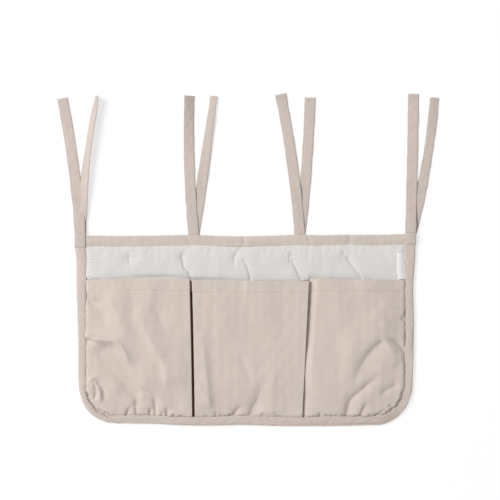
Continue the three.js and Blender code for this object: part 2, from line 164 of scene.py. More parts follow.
TIES = {
    "tie_1": tie_pair(-270, OUTER_TIE_BASE,
                      back=tail(154.5, 232, 6.9, -0.02, 81, twist=54, turning=(0.0, 0.7)),
                      front=tail(158.5, 225, -7.6, 0.015, 82, root=3.0)),
    "tie_2": tie_pair(-84.2, 0,
                      back=tail(154.5, 233, 8.2, 0.004, 83, twist=9, turning=(0.35, 1.1), slim=0.62,
                                drawn=(0.35, 1.1)),
                      front=tail(156.9, 228.6, -1.7, -0.016, 84, twist=-18, turning=(0.5, 0.9))),
    "tie_3": tie_pair(90, 0,
                      back=tail(154.5, 229, 4.25, 0.011, 85),
                      front=tail(156.9, 233.6, -7.8, 0.016, 86)),
    "tie_4": tie_pair(271.5, OUTER_TIE_BASE,
                      back=tail(156, 230, 9.9, 0.024, 87, twist=-7, slim=0.86),
                      front=tail(160.5, 228.5, 1.3, 0.002, 88, root=3.4)),
}

# Sewn squares at the roots of the outer ties: the middle across, the lower end and the upper end
ROOT_PATCHES = {"tie_1": (-270, 136.3, 159.2), "tie_4": (271.2, 142.0, 161.2)}
PATCH_Z = 8.2

# Photograph's framing: the middle of the view on the floor and the width that it takes in
VIEW_CENTRE = (8.2, 132.5)
VIEW_WIDTH = 821
VIEW_HEIGHT = 2500
SENSOR = 36

# Studio
FLOOR_Z = -0.6
FLOOR_REACH = 4000
FLOOR_SHADE = 0.8
FLOOR_SEEN_SHADE = 0.34
FLOOR_GLOW = 0.67
AMBIENT = 0.4
LAMP_POWER = 718
LAMP_SIZE = 4300
LAMP_PLACE = (-5500, 2500, 6850)


# Small helpers
def smooth(value, start, end):
    share = np.clip((value - start) / (end - start), 0, 1)
    return share * share * (3 - 2 * share)


def lerp(start, end, share):
    return start + (end - start) * share


def bell(value, spread):
    return np.exp(-((value / spread) ** 2))


def bumps(value, places):
    """Sum of rounded rises, each given by its height, its place and its spread."""
    return sum(height * bell(value - middle, spread) for height, middle, spread in places)


def uneven(x, y, wavelength, seed, waves=9):
    """Smooth irregular surface of about unit height, the same at each run."""
    rng = np.random.default_rng(seed)
    total = np.zeros(np.broadcast(x, y).shape)
    for _ in range(waves):
        heading = rng.uniform(0, 2 * math.pi)
        length = wavelength * rng.uniform(0.7, 1.5)
        phase = rng.uniform(0, 2 * math.pi)
        along = x * math.cos(heading) + y * math.sin(heading)
        total += np.sin(along * 2 * math.pi / length + phase)
    return total / math.sqrt(waves / 2)


def uneven_along(run, wavelength, seed):
    return uneven(run, 0 * run, wavelength, seed=seed)


def run_along(points):
    """Length along a line at each of its points."""
    return np.concatenate([[0], np.cumsum(np.linalg.norm(np.diff(points, axis=0), axis=1))])


def between(a, b, c, d, t):
    """Point on the smooth curve from b to c, with a before and d after them."""
    return 0.5 * (2 * b + (c - a) * t + (2 * a - 5 * b + 4 * c - d) * t**2 + (3 * b - a - 3 * c + d) * t**3)


def curve_through(points, count=40):
    """Points spread along a smooth curve through the given ones."""
    points = np.array(points, float)
    padded = np.vstack([2 * points[0] - points[1], points, 2 * points[-1] - points[-2]])
    spans = len(points) - 1
    out = []
    for share in np.linspace(0, spans, count):
        k = min(int(share), spans - 1)
        out.append(between(*padded[k:k + 4], share - k))
    return np.array(out)


# Panel outline
LEAN = math.atan2(TOP_HALF_WIDTH - BOTTOM_HALF_WIDTH, 2 * HALF_HEIGHT)
ARC_Y = CORNER_RADIUS - HALF_HEIGHT


def side_x(y):
    return BOTTOM_HALF_WIDTH + (y + HALF_HEIGHT) * math.tan(LEAN)


ARC_X = side_x(ARC_Y) - CORNER_RADIUS / math.cos(LEAN)


def half_width(y, inset):
    radius = CORNER_RADIUS - inset
    drop = ARC_Y - np.asarray(y, float)
    round_part = ARC_X + np.sqrt(np.maximum(radius**2 - drop**2, 0))
    return np.where(drop <= radius * math.sin(LEAN), side_x(y) - inset / math.cos(LEAN), round_part)


def edge_distance(x, y):
    across = np.abs(x) - ARC_X
    drop = ARC_Y - y
    straight = np.minimum((side_x(y) - np.abs(x)) * math.cos(LEAN), y + HALF_HEIGHT)
    in_corner = (across > 0) & (drop > 0)
    return np.where(in_corner, CORNER_RADIUS - np.hypot(across, drop), straight)


def edge_path(top, step):
    """Left side, bottom and right side of the outline: points, inward directions and lengths along it."""
    corner_count = int(CORNER_RADIUS * math.pi / 2 / step)
    side_count = int((top - ARC_Y) / step)
    bottom_count = int(2 * ARC_X / step)
    points, inward = [], []
    for y in np.linspace(top, ARC_Y, side_count, endpoint=False):
        points.append((-side_x(y), y))
        inward.append((math.cos(LEAN), math.sin(LEAN)))
    for angle in np.linspace(LEAN, math.pi / 2, corner_count, endpoint=False):
        points.append((-ARC_X - CORNER_RADIUS * math.cos(angle), ARC_Y - CORNER_RADIUS * math.sin(angle)))
        inward.append((math.cos(angle), math.sin(angle)))
    half = [(x, -HALF_HEIGHT) for x in np.linspace(-ARC_X, 0, bottom_count // 2, endpoint=False)]
    points += half
    inward += [(0, 1)] * len(half)
    points_left, inward_left = np.array(points), np.array(inward)
    mirror = np.array((-1, 1))
    points = np.vstack([points_left, [(0, -HALF_HEIGHT)], points_left[::-1] * mirror])
    inward = np.vstack([inward_left, [(0, 1)], inward_left[::-1] * mirror])
    return points, inward, run_along(points)


# Mesh making
def link_mesh(name, points, faces, uv, material):
    """Object at the origin from points in millimetres, with cloth coordinates in metres in its UV map."""
    mesh = bpy.data.meshes.new(name)
    mesh.from_pydata((np.asarray(points) * MM).tolist(), [], faces)
    mesh.materials.append(material)
    layer = mesh.uv_layers.new(name="cloth")
    corners = np.empty(len(mesh.loops), int)
    mesh.loops.foreach_get("vertex_index", corners)
    layer.data.foreach_set("uv", (np.asarray(uv)[corners] * MM).astype(np.float32).ravel())
    mesh.polygons.foreach_set("use_smooth", np.ones(len(mesh.polygons), bool))
    mesh.update()
    obj = bpy.data.objects.new(name, mesh)
    bpy.context.scene.collection.objects.link(obj)
    return obj


def grid_faces(rows, columns):
    index = np.arange(rows * columns).reshape(rows, columns)
    corners = [index[:-1, :-1], index[:-1, 1:], index[1:, 1:], index[1:, :-1]]
    return np.stack([c.ravel() for c in corners], axis=1).tolist()


def pattern(across, along):
    """Places on the flat cloth of a grid's points."""
    return np.stack(np.broadcast_arrays(across, along), axis=2)


def cloth_grid(name, points, uv, material):
    """Cloth over a grid of points, rows by columns, with its face side where rows turn left to columns."""
    rows, columns, _ = points.shape
    return link_mesh(name, points.reshape(-1, 3), grid_faces(rows, columns), uv.reshape(-1, 2), material)


def settle(obj):
    """Replaces the object's mesh with what its modifiers make of it."""
    depsgraph = bpy.context.evaluated_depsgraph_get()
    mesh = bpy.data.meshes.new_from_object(obj.evaluated_get(depsgraph), preserve_all_data_layers=True,
                                           depsgraph=depsgraph)
    obj.modifiers.clear()
    old = obj.data
    obj.data = mesh
    mesh.name = obj.name
    bpy.data.meshes.remove(old)
    mesh.polygons.foreach_set("use_smooth", np.ones(len(mesh.polygons), bool))
    return obj


def thicken(obj, thickness=CLOTH, levels=0):
    """Gives the cloth its thickness, on the side away from its face."""
    wall = obj.modifiers.new("thickness", "SOLIDIFY")
    wall.thickness = thickness * MM
    wall.offset = -1
    if levels:
        soften = obj.modifiers.new("soften", "SUBSURF")
        soften.levels = soften.render_levels = levels
    return settle(obj)


# Folds in cloth
def along_route(x, y, route):
    """Nearest share along a route and the signed distance from it, positive on the route's left."""
    length = np.linalg.norm(np.diff(np.array(route, float), axis=0), axis=1).sum()
    line = curve_through(route, int(length / ROUTE_STEP) + 8)
    tangent = np.gradient(line, axis=0)
    tangent /= np.linalg.norm(tangent, axis=1)[:, None]
    flat = np.stack([x.ravel(), y.ravel()], axis=1)
    apart = flat[:, None, :] - line[None, :, :]
    nearest = np.argmin((apart**2).sum(axis=2), axis=1)
    offset = apart[np.arange(len(flat)), nearest]
    heading = tangent[nearest]
    signed = heading[:, 0] * offset[:, 1] - heading[:, 1] * offset[:, 0]
    distance = np.hypot(offset[:, 0], offset[:, 1])
    side = np.where(signed >= 0, 1, -1)
    share = nearest / (len(line) - 1)
    return share.reshape(x.shape), (side * distance).reshape(x.shape)


def crease(route, depth, left, right, spread=1.0, start=0.0, end=0.45):
    """One fold in cloth: a valley along the route, or a ridge where the depth is negative. Left and right are
    how wide its two slopes are. They widen by spread towards the route's end, and start and end are the
    shares of the route over which the fold fades in and out."""
    return {"route": route, "depth": depth, "left": left, "right": right, "spread": spread, "start": start,
            "end": end}


def fold(x, y, route, depth, left, right, spread, start, end):
    """Height that one crease gives the cloth."""
    share, aside = along_route(x, y, route)
    fade = (1 - smooth(share, 1 - end, 1.0)) if end else 1.0
    if start:
        fade = fade * smooth(share, 0.0, start)
    width = np.where(aside > 0, left, right) * lerp(1, spread, share)
    blunt = 0.5
    return -fade * depth * np.exp(blunt - np.hypot(aside / width, blunt))


def all_folds(x, y, folds):
    return sum((fold(x, y, **one) for one in folds), np.zeros(x.shape))


# Shader building
def paint(red, green, blue):
    """Linear colour from the 0 to 255 values of a screen colour."""
    shares = [value / 255 for value in (red, green, blue)]
    return tuple(s / 12.92 if s <= 0.04045 else ((s + 0.055) / 1.055) ** 2.4 for s in shares) + (1.0,)


def wire(tree, value, socket):
    """Sets a socket to a number, or joins it to another node's output."""
    if isinstance(value, bpy.types.NodeSocket):
        tree.links.new(value, socket)
    else:
        socket.default_value = value


def set_inputs(tree, node, inputs):
    """Sets a node's inputs in order, from a list, or by name or number, from a dictionary."""
    for key, value in inputs.items() if isinstance(inputs, dict) else enumerate(inputs):
        wire(tree, value, node.inputs[key])


def add_node(tree, kind, inputs=(), **settings):
    node = tree.nodes.new(kind)
    for setting, value in settings.items():
        setattr(node, setting, value)
    set_inputs(tree, node, inputs)
    return node


def calculate(tree, operation, *values):
    return add_node(tree, "ShaderNodeMath", values, operation=operation).outputs[0]


def place(tree, *values):
    return add_node(tree, "ShaderNodeCombineXYZ", values).outputs[0]


def noise(tree, vector, scale):
    return add_node(tree, "ShaderNodeTexNoise", {"Vector": vector, "Scale": scale, "Detail": 2.0}).outputs[0]


def mix_colours(tree, factor, first, second):
    return add_node(tree, "ShaderNodeMix", {0: factor, 6: first, 7: second}, data_type="RGBA").outputs[2]


def remap(tree, value, low, high, out_low, out_high):
    return add_node(tree, "ShaderNodeMapRange", (value, low, high, out_low, out_high)).outputs[0]


def node_group(name, kind, inputs, outputs):
    """Empty group with sockets by name and kind, what it is given and what it makes."""
    group = bpy.data.node_groups.new(name, kind)
    for direction, sockets in (("INPUT", inputs), ("OUTPUT", outputs)):
        for label, socket in sockets.items():
            group.interface.new_socket(name=label, in_out=direction, socket_type="NodeSocket" + socket)
    return group, add_node(group, "NodeGroupInput").outputs, add_node(group, "NodeGroupOutput").inputs


def plain_weave_group():
    """Plain weave: crossing threads as a height, and threads of uneven thickness as a tone."""
    inputs = {"Cloth": "Vector", "Thread Pitch": "Float"}
    outputs = {"Height": "Float", "Tone": "Float"}
    group, given, made = node_group("plain_weave", "ShaderNodeTree", inputs, outputs)
    split = add_node(group, "ShaderNodeSeparateXYZ", [given["Cloth"]])
    across = calculate(group, "DIVIDE", split.outputs[0], given["Thread Pitch"])
    along = calculate(group, "DIVIDE", split.outputs[1], given["Thread Pitch"])
    warp = calculate(group, "SINE", calculate(group, "MULTIPLY", across, math.pi))
    weft = calculate(group, "SINE", calculate(group, "MULTIPLY", along, math.pi))
    crossing = calculate(group, "MULTIPLY_ADD", calculate(group, "MULTIPLY", warp, weft), 0.5, 0.5)
    thread_rate, slub_rate = 0.06, 0.004
    weft_slub = noise(group, place(group, calculate(group, "MULTIPLY", across, slub_rate),
                                   calculate(group, "MULTIPLY", along, thread_rate), 0.0), 1.0)
    warp_slub = noise(group, place(group, calculate(group, "MULTIPLY", across, thread_rate),
                                   calculate(group, "MULTIPLY", along, slub_rate), 5.0), 1.0)
    warp_share = 0.7
    tone = calculate(group, "MULTIPLY_ADD", weft_slub, 1 - warp_share,
                     calculate(group, "MULTIPLY", warp_slub, warp_share))
    wire(group, calculate(group, "ADD", crossing, tone), made["Height"])
    wire(group, tone, made["Tone"])
    return group


def cloth_shading_group():
    """Broad unevenness of washed cloth, as a tone about one half."""
    inputs = {"Place": "Vector", "Patch Size": "Float"}
    group, given, made = node_group("cloth_shading", "ShaderNodeTree", inputs, {"Tone": "Float"})
    rate = calculate(group, "DIVIDE", 1.0, given["Patch Size"])
    broad = noise(group, given["Place"], rate)
    fine = noise(group, given["Place"], calculate(group, "MULTIPLY", rate, 4.0))
    wire(group, calculate(group, "MULTIPLY", calculate(group, "ADD", broad, fine), 0.5), made["Tone"])
    return group


PLAIN_WEAVE = plain_weave_group()
CLOTH_SHADING = cloth_shading_group()


def place_group(tree, group, inputs):
    return add_node(tree, "ShaderNodeGroup", inputs, node_tree=group).outputs


def empty_tree(owner):
    """Node tree of a material or a world, cleared."""
    owner.use_nodes = True
    owner.node_tree.nodes.clear()
    return owner.node_tree


def new_material(name):
    material = bpy.data.materials.new(name)
    tree = empty_tree(material)
    surface = add_node(tree, "ShaderNodeBsdfPrincipled")
    add_node(tree, "ShaderNodeOutputMaterial", {"Surface": surface.outputs[0]})
    return material, tree, surface


# Cotton: size of its broad patches, share of the threads in its tone, range of that tone, change of
# roughness, softness of its sheen, gloss and depth of the weave. Lengths in materials are metres
PATCH_SIZE = 0.05
THREAD_SHARE = 0.7
TONE_RANGE = (0.3, 0.7)
ROUGHNESS_CHANGE = 0.06
SHEEN_ROUGHNESS = 0.45
COTTON_GLOSS = 0.25
WEAVE_DEPTH = 0.00012


def bump(tree, height, strength, depth):
    """Facing of a surface whose height changes over it."""
    inputs = {"Strength": strength, "Distance": depth, "Height": height}
    return add_node(tree, "ShaderNodeBump", inputs).outputs[0]


def cotton(name, shade, light, pitch, relief, roughness, sheen):
    """Woven cotton: thread tone and broad shading between two colours, and the weave as a bump."""
    material, tree, surface = new_material(name)
    cloth = add_node(tree, "ShaderNodeUVMap", uv_map="cloth").outputs[0]
    spot = add_node(tree, "ShaderNodeTexCoord").outputs["Object"]
    weave = place_group(tree, PLAIN_WEAVE, {"Cloth": cloth, "Thread Pitch": pitch})
    patches = place_group(tree, CLOTH_SHADING, {"Place": spot, "Patch Size": PATCH_SIZE})
    threads = calculate(tree, "MULTIPLY", weave["Tone"], THREAD_SHARE)
    tone = calculate(tree, "MULTIPLY_ADD", patches["Tone"], 1 - THREAD_SHARE, threads)
    factor = remap(tree, tone, *TONE_RANGE, 0.0, 1.0)
    rough_to_smooth = roughness + ROUGHNESS_CHANGE, roughness - ROUGHNESS_CHANGE
    set_inputs(tree, surface, {
        "Base Color": mix_colours(tree, factor, shade, light),
        "Roughness": remap(tree, weave["Tone"], *TONE_RANGE, *rough_to_smooth),
        "Sheen Weight": sheen,
        "Sheen Roughness": SHEEN_ROUGHNESS,
        "Specular IOR Level": COTTON_GLOSS,
        "Normal": bump(tree, weave["Height"], relief, WEAVE_DEPTH),
    })
    return material


# Sewing thread: how fine its grain is, and the strength and depth in metres of its twist
THREAD_GRAIN = 900.0
THREAD_TONES = (0.35, 0.65)
THREAD_ROUGHNESS = 0.6
TWIST_STRENGTH = 0.5
TWIST_DEPTH = 0.00005


def sewing_thread(name, shade, light):
    """Twisted thread: fine slanted ridges and a slight change of tone."""
    material, tree, surface = new_material(name)
    spot = add_node(tree, "ShaderNodeTexCoord").outputs["Object"]
    factor = remap(tree, noise(tree, spot, THREAD_GRAIN), *THREAD_TONES, 0.0, 1.0)
    twist = add_node(tree, "ShaderNodeTexWave", {"Vector": spot, "Scale": THREAD_GRAIN},
                     bands_direction="DIAGONAL")
    set_inputs(tree, surface, {
        "Base Color": mix_colours(tree, factor, shade, light),
        "Roughness": THREAD_ROUGHNESS,
        "Normal": bump(tree, twist.outputs["Fac"], TWIST_STRENGTH, TWIST_DEPTH),
    })
    return material


POCKET_COTTON = cotton("pocket_cotton", paint(203, 190, 181), paint(211, 198, 189), 0.0004, 0.3, 0.86, 0.06)
TAPE_COTTON = cotton("tape_cotton", paint(199, 186, 177), paint(211, 198, 189), 0.00042, 0.45, 0.86, 0.06)
QUILT_COTTON = cotton("quilt_cotton", paint(212, 210, 207), paint(218, 216, 213), 0.00036, 0.2, 0.88, 0.06)
TIE_COTTON = cotton("tie_cotton", paint(196, 183, 174), paint(208, 195, 186), 0.00042, 0.45, 0.86, 0.06)
LABEL_RIBBON = cotton("label_ribbon", paint(242, 241, 239), paint(250, 249, 247), 0.00025, 0.3, 0.6, 0.1)
# Painted shade: a dark warm brown cloth for the pleat floor, standing in for the shade deep inside the pleat
PLEAT_PAINTED_SHADE = cotton("pleat_painted_shade_cotton", paint(128, 94, 71), paint(138, 103, 79), 0.0004, 0.35, 0.9, 0.0)
BEIGE_THREAD = sewing_thread("beige_thread", paint(186, 168, 156), paint(205, 190, 180))
CREAM_THREAD = sewing_thread("cream_thread", paint(214, 203, 178), paint(228, 220, 200))


# Stitches
STITCH_SIZES = (0.88, 1.06)


def stitch_tree():
    """Threads laid one after another along each edge path, of slightly different sizes."""
    inputs = {"Paths": "Geometry", "Stitch Pitch": "Float", "Stitch Length": "Float",
              "Thread Radius": "Float", "Thread": "Material"}
    tree, given, made = node_group("stitch_row", "GeometryNodeTree", inputs, {"Stitches": "Geometry"})
    curve = add_node(tree, "GeometryNodeMeshToCurve", {"Mesh": given["Paths"]})
    points = add_node(tree, "GeometryNodeCurveToPoints",
                      {"Curve": curve.outputs[0], "Length": given["Stitch Pitch"]}, mode="LENGTH").outputs
    bead = add_node(tree, "GeometryNodeMeshUVSphere", {"Segments": 6, "Rings": 4, "Radius": 1.0})
    girth = given["Thread Radius"]
    half_length = calculate(tree, "MULTIPLY", given["Stitch Length"], 0.5)
    stitch = add_node(tree, "GeometryNodeTransform", {"Geometry": bead.outputs["Mesh"],
                                                      "Scale": place(tree, girth, girth, half_length)})
    turn = add_node(tree, "FunctionNodeAlignRotationToVector", {"Vector": points["Tangent"]}, axis="Z")
    chance = add_node(tree, "FunctionNodeRandomValue", {"Seed": 4}, data_type="FLOAT")
    size = remap(tree, chance.outputs[1], 0.0, 1.0, *STITCH_SIZES)
    laid = add_node(tree, "GeometryNodeInstanceOnPoints",
                    {"Points": points["Points"], "Instance": stitch.outputs[0], "Rotation": turn.outputs[0],
                     "Scale": place(tree, size, size, size)})
    real = add_node(tree, "GeometryNodeRealizeInstances", {"Geometry": laid.outputs[0]})
    rounded = add_node(tree, "GeometryNodeSetShadeSmooth", {"Geometry": real.outputs[0]})
    dyed = add_node(tree, "GeometryNodeSetMaterial",
                    {"Geometry": rounded.outputs[0], "Material": given["Thread"]})
    wire(tree, dyed.outputs[0], made["Stitches"])
    return tree


STITCH_ROW = stitch_tree()


def drop_on(route, pieces, from_below=False):
    """Route points in millimetres laid on the first of the pieces that each meets from above or below."""
    depsgraph = bpy.context.evaluated_depsgraph_get()
    trees = [BVHTree.FromObject(piece, depsgraph) for piece in pieces]
    heading = 1 if from_below else -1
    far_off = 0.1
    laid = []
    for x, y in route:
        start = Vector((x * MM, y * MM, -heading * far_off))
        hits = [tree.ray_cast(start, Vector((0, 0, heading)))[0] for tree in trees]
        heights = [hit.z / MM for hit in hits if hit is not None]
        if heights:
            laid.append((x, y, min(heights) if from_below else max(heights)))
    return laid


def sew(name, routes, thread, pitch=3.0, length=2.4, radius=0.24):
    """One mesh of stitches along all the routes, which are lists of points in millimetres."""
    points, edges = [], []
    for route in routes:
        first = len(points)
        points += [tuple(value * MM for value in point) for point in route]
        edges += [(first + k, first + k + 1) for k in range(len(route) - 1)]
    mesh = bpy.data.meshes.new(name)
    mesh.from_pydata(points, edges, [])
    obj = bpy.data.objects.new(name, mesh)
    bpy.context.scene.collection.objects.link(obj)
    modifier = obj.modifiers.new("stitches", "NODES")
    modifier.node_group = STITCH_ROW
    sizes = {"Stitch Pitch": pitch * MM, "Stitch Length": length * MM, "Thread Radius": radius * MM,
             "Thread": thread}
    for item in STITCH_ROW.interface.items_tree:
        if item.name in sizes and item.in_out == "INPUT":
            modifier[item.identifier] = sizes[item.name]
    return settle(obj)


# Quilted panel
def tack_points():
    points = []
    for row in range(TACK_ROWS):
        y = HALF_HEIGHT - TACK_FROM_TOP - row * TACK_ROW_PITCH
        shift = TACK_SHIFT + (TACK_PITCH / 2 if row % 2 else 0)
        for x in shift + TACK_PITCH * np.arange(-4, 5):
            if abs(x) < TACK_REACH:
                points.append((x, y))
    shown = len(TACK_WANDER)
    points[:shown] = [(x + dx, y + dy) for (x, y), (dx, dy) in zip(points, TACK_WANDER)]
    return points


def near_tacks(x, y, spread):
    return np.max([bell(np.hypot(x - tx, y - ty), spread) for tx, ty in tack_points()], axis=0)


def quilt_plan(inset):
    """Places of the panel's cloth in rows and columns."""
    rows = np.arange(inset - HALF_HEIGHT, HALF_HEIGHT - inset + 0.1, QUILT_STEP)
    shares = np.linspace(-1, 1, int(2 * TOP_HALF_WIDTH / QUILT_STEP))
    y = np.repeat(rows[:, None], len(shares), axis=1)
    return shares[None, :] * half_width(y, inset), y


def quilt_back_height(x, y):
    """Back of the panel: flat on the surface, and held up by the tapes along its edges."""
    by_side = BACK_RISE_AT_SIDE * (1 - smooth(edge_distance(x, y), *BACK_FALL_FROM_SIDE))
    by_top = BACK_RISE_AT_TOP * (1 - smooth(HALF_HEIGHT - y, *BACK_FALL_FROM_TOP))
    return np.maximum(by_side, by_top)


def mouth_line(x):
    """Height of the pockets' mouths across the panel."""
    by_middle = MIDDLE_MOUTH + middle_mouth_wave(x)
    by_left = np.where(x < LEFT_PLEAT[0], LEFT_MOUTH + left_mouth_wave(x), by_middle)
    return np.where(x > RIGHT_PLEAT[0], RIGHT_MOUTH + right_mouth_wave(x), by_left)


def above_pockets(x, y):
    """One on the open strip of quilting, falling to nothing inside the mouths."""
    return smooth(y - mouth_line(x), -4, 1.5)


def pillow(distance, run):
    """Rise of padding beside an edge that holds it down: quick at first, then level."""
    return 1 - np.exp(-np.maximum(distance, 0) / run)


def shown_quilt_height(x, y):
    """Front of the wadding in the open strip: up from both tapes, and down under the hems of the pockets."""
    from_side = inside_tape(x, y) + PILLOW_START
    from_top = HALF_HEIGHT + top_rise(x) - y - TOP_TAPE_SHOWN + PILLOW_START
    shown = np.minimum(lerp(QUILT_EDGE_Z + 1.2, QUILT_CROWN_Z, pillow(from_side, PILLOW_RUN)),
                       lerp(QUILT_EDGE_Z + 0.7, QUILT_CROWN_Z, pillow(from_top, PILLOW_RUN)))
    mouth = mouth_line(x)
    under_hem = pocket_base(x, mouth) - lerp(3.2, 0.4, smooth(x, 135, 170))
    under_hem = under_hem - 0.5 * sunk_edge(x, mouth) * (x > RIGHT_PLEAT[0] - 6)
    past_mouth = y - mouth
    shown = np.minimum(shown, under_hem + np.maximum(past_mouth, 0))
    return shown - MOUTH_DIP * bell(past_mouth - 0.5, 2.2) * bumps(x, MOUTH_DIPS)


def hidden_quilt_height(x, y):
    """Front of the wadding under the pockets, with a groove under each pleat."""
    by_tape = QUILT_EDGE_Z + 0.2 - SEAM_DIP * on_low_seam(x, y)
    hidden = lerp(by_tape, QUILT_HIDDEN_Z, smooth(inside_tape(x, y), 0, HIDDEN_RUN))
    for line in (LEFT_PLEAT, RIGHT_PLEAT):
        hidden = hidden - PLEAT_GROOVE * bell(x - pleat_x(line, y), 11)
    return hidden


def quilt_front_height(x, y):
    """Front of the wadding before it swells: drawn in at the tapes, at the tacks and under the pockets."""
    height = lerp(hidden_quilt_height(x, y), shown_quilt_height(x, y), above_pockets(x, y))
    return height - np.maximum(height - TACK_Z, 0) * near_tacks(x, y, TACK_SPREAD)


QUILT_CREASES = [
    crease([(-105, 127), (-102, 115), (-99.5, 104), (-93, 97), (-88, 85)], depth=2.3, left=3.0, right=1.7,
           start=0.15, end=0),
    crease([(-8, 118), (0, 112), (4, 103), (7.5, 92), (9, 84)], depth=2.1, left=2.6, right=1.7, start=0.2,
           end=0),
    crease([(76, 118), (80, 109), (85, 99), (91, 85)], depth=2.3, left=2.6, right=1.7, start=0.2, end=0),
    crease([(166, 124), (171, 114), (178, 104), (190, 86)], depth=2.1, left=2.4, right=1.7, start=0.15,
           end=0),
    crease([(73, 124), (73.5, 115), (75, 107)], depth=0.9, left=1.4, right=1.3),
    crease([(-190, 121), (-190, 113), (-189, 105)], depth=0.7, left=1.4, right=1.2),
    crease([(-184, 119), (-172, 110), (-158, 98), (-152, 90)], depth=-0.7, left=5.0, right=3.0, start=0.3),
    crease([(-222, 112), (-228, 100), (-231, 86)], depth=-0.5, left=7.0, right=5.0, start=0.3),
    crease([(-17, 122), (-17, 114), (-16, 107)], depth=0.6, left=1.4, right=1.2),
    crease([(-97, 126), (-70, 125), (-42, 126)], depth=0.4, left=4.0, right=5.0),
]


def puff_up(obj, pinned, frames, pressure, growth):
    """Swells the free cloth between its pinned points and lets it buckle a little, then keeps that shape."""
    group = obj.vertex_groups.new(name="sewn")
    group.add(np.flatnonzero(pinned).tolist(), 1.0, "REPLACE")
    modifier = obj.modifiers.new("wadding", "CLOTH")
    settings = modifier.settings
    settings.vertex_group_mass = "sewn"
    settings.quality = 6
    settings.mass = 0.3
    settings.tension_stiffness = settings.compression_stiffness = 12
    settings.shear_stiffness = 6
    settings.bending_stiffness = 0.4
    settings.use_pressure = True
    settings.uniform_pressure_force = pressure
    settings.shrink_min = -growth
    settings.effector_weights.gravity = 0
    modifier.collision_settings.use_collision = False
    scene = bpy.context.scene
    for number in range(1, frames + 1):
        scene.frame_set(number)
    settle(obj)
    scene.frame_set(1)
    obj.vertex_groups.clear()


def closed_pad(name, front, bottom):
    """Closed mesh from a front grid and the heights of a back under it, joined round the rim."""
    rows, columns, _ = front.shape
    rim = np.ones((rows, columns), bool)
    rim[1:-1, 1:-1] = False
    front_index = np.arange(rows * columns).reshape(rows, columns)
    back_index = front_index.copy()
    back_index[~rim] = rows * columns + np.arange((~rim).sum())
    under = np.concatenate([front[:, :, :2], bottom[:, :, None]], axis=2)
    points = np.vstack([front.reshape(-1, 3), under[~rim]])
    faces = []
    for index, corners in ((front_index, [(0, 0), (0, 1), (1, 1), (1, 0)]),
                           (back_index, [(1, 0), (1, 1), (0, 1), (0, 0)])):
        part = [slice(None, -1), slice(1, None)]
        faces += np.stack([index[part[a], part[b]].ravel() for a, b in corners], axis=1).tolist()
    return link_mesh(name, points, faces, points[:, :2], QUILT_COTTON), rim


def swollen_quilt():
    """Front of the pad after the wadding swells it between the tapes and the tacks, as a grid of points."""
    x, y = quilt_plan(QUILT_INSET)
    start = np.stack([x, y, quilt_front_height(x, y)], axis=2)
    trial, rim = closed_pad("quilt_trial", start, quilt_back_height(x, y) + QUILT_FLOOR_Z)
    free = ~rim & (near_tacks(x, y, 4.0) < 0.55)
    pinned = np.ones(len(trial.data.vertices), bool)
    pinned[:free.size] = ~free.ravel()
    puff_up(trial, pinned, frames=18, pressure=1.2, growth=0.004)
    grid = np.empty(len(trial.data.vertices) * 3)
    trial.data.vertices.foreach_get("co", grid)
    grid = grid.reshape(-1, 3)[:free.size].reshape(start.shape) / MM
    bpy.data.objects.remove(trial)
    room = lerp(SWELL_AT_MOUTH, SWELL_ABOVE, smooth(y - mouth_line(x), 0, 14))
    room = room * smooth(HALF_HEIGHT - y, TOP_TAPE_WIDTH - 2, TOP_TAPE_WIDTH + 14)
    room = room * smooth(inside_tape(x, y), 0, 12) + 0.05
    grid[:, :, 2] = start[:, :, 2] + room * np.tanh((grid[:, :, 2] - start[:, :, 2]) / room)
    return grid


def resample(grid, places):
    """Rows of a grid at fractional places between its own, on smooth curves."""
    padded = np.concatenate([2 * grid[:1] - grid[1:2], grid, 2 * grid[-1:] - grid[-2:-1]])
    k = np.clip(places.astype(int), 0, len(grid) - 2)
    t = (places - k)[:, None, None]
    return between(*(padded[k + step] for step in range(4)), t)


def quilt_pad():
    """Swollen pad with closer rows in the strip above the pockets, and the creases from its tacks."""
    grid = swollen_quilt()
    rows, columns = grid.shape[:2]
    strip = np.searchsorted(grid[:, 0, 1], MIDDLE_MOUTH - 6)
    places = np.concatenate([np.arange(0, strip - 1, HIDDEN_ROW_STEP),
                             np.arange(strip, rows - 1, SHOWN_ROW_STEP), [rows - 1]])
    turned = resample(grid, places).transpose(1, 0, 2)
    grid = resample(turned, np.linspace(0, columns - 1, columns * COLUMN_DETAIL)).transpose(1, 0, 2)
    x, y = grid[:, :, 0], grid[:, :, 1]
    grid[:, :, 2] += quilt_creasing(x, y)
    return closed_pad("quilt_pad", grid, quilt_back_height(x, y) + QUILT_FLOOR_Z)[0]


def quilt_creasing(x, y):
    """Creases that run from the tacks, and fine puckers beside the tapes."""
    inside = smooth(inside_tape(x, y), 0, 4)
    inside = inside * smooth(HALF_HEIGHT + top_rise(x) - y, TOP_TAPE_SHOWN - 1, TOP_TAPE_SHOWN + 3)
    height = all_folds(x, y, QUILT_CREASES)
    by_side = np.exp(-np.maximum(inside_tape(x, y) - 3, 0) / 8)
    run = y + 0.2 * np.abs(x)
    height += 0.35 * by_side * np.sin(2 * math.pi * run / PUCKER_PITCH + 1.6 * uneven(x, y, 45, seed=3))
    by_top = np.exp(-np.maximum(HALF_HEIGHT - y - TOP_TAPE_WIDTH, 0) / 7)
    height += 0.2 * by_top * uneven(x, 0.25 * y, 13, seed=5)
    height += 0.15 * uneven(x, y, 34, seed=8)
    return inside * height * above_pockets(x, y)


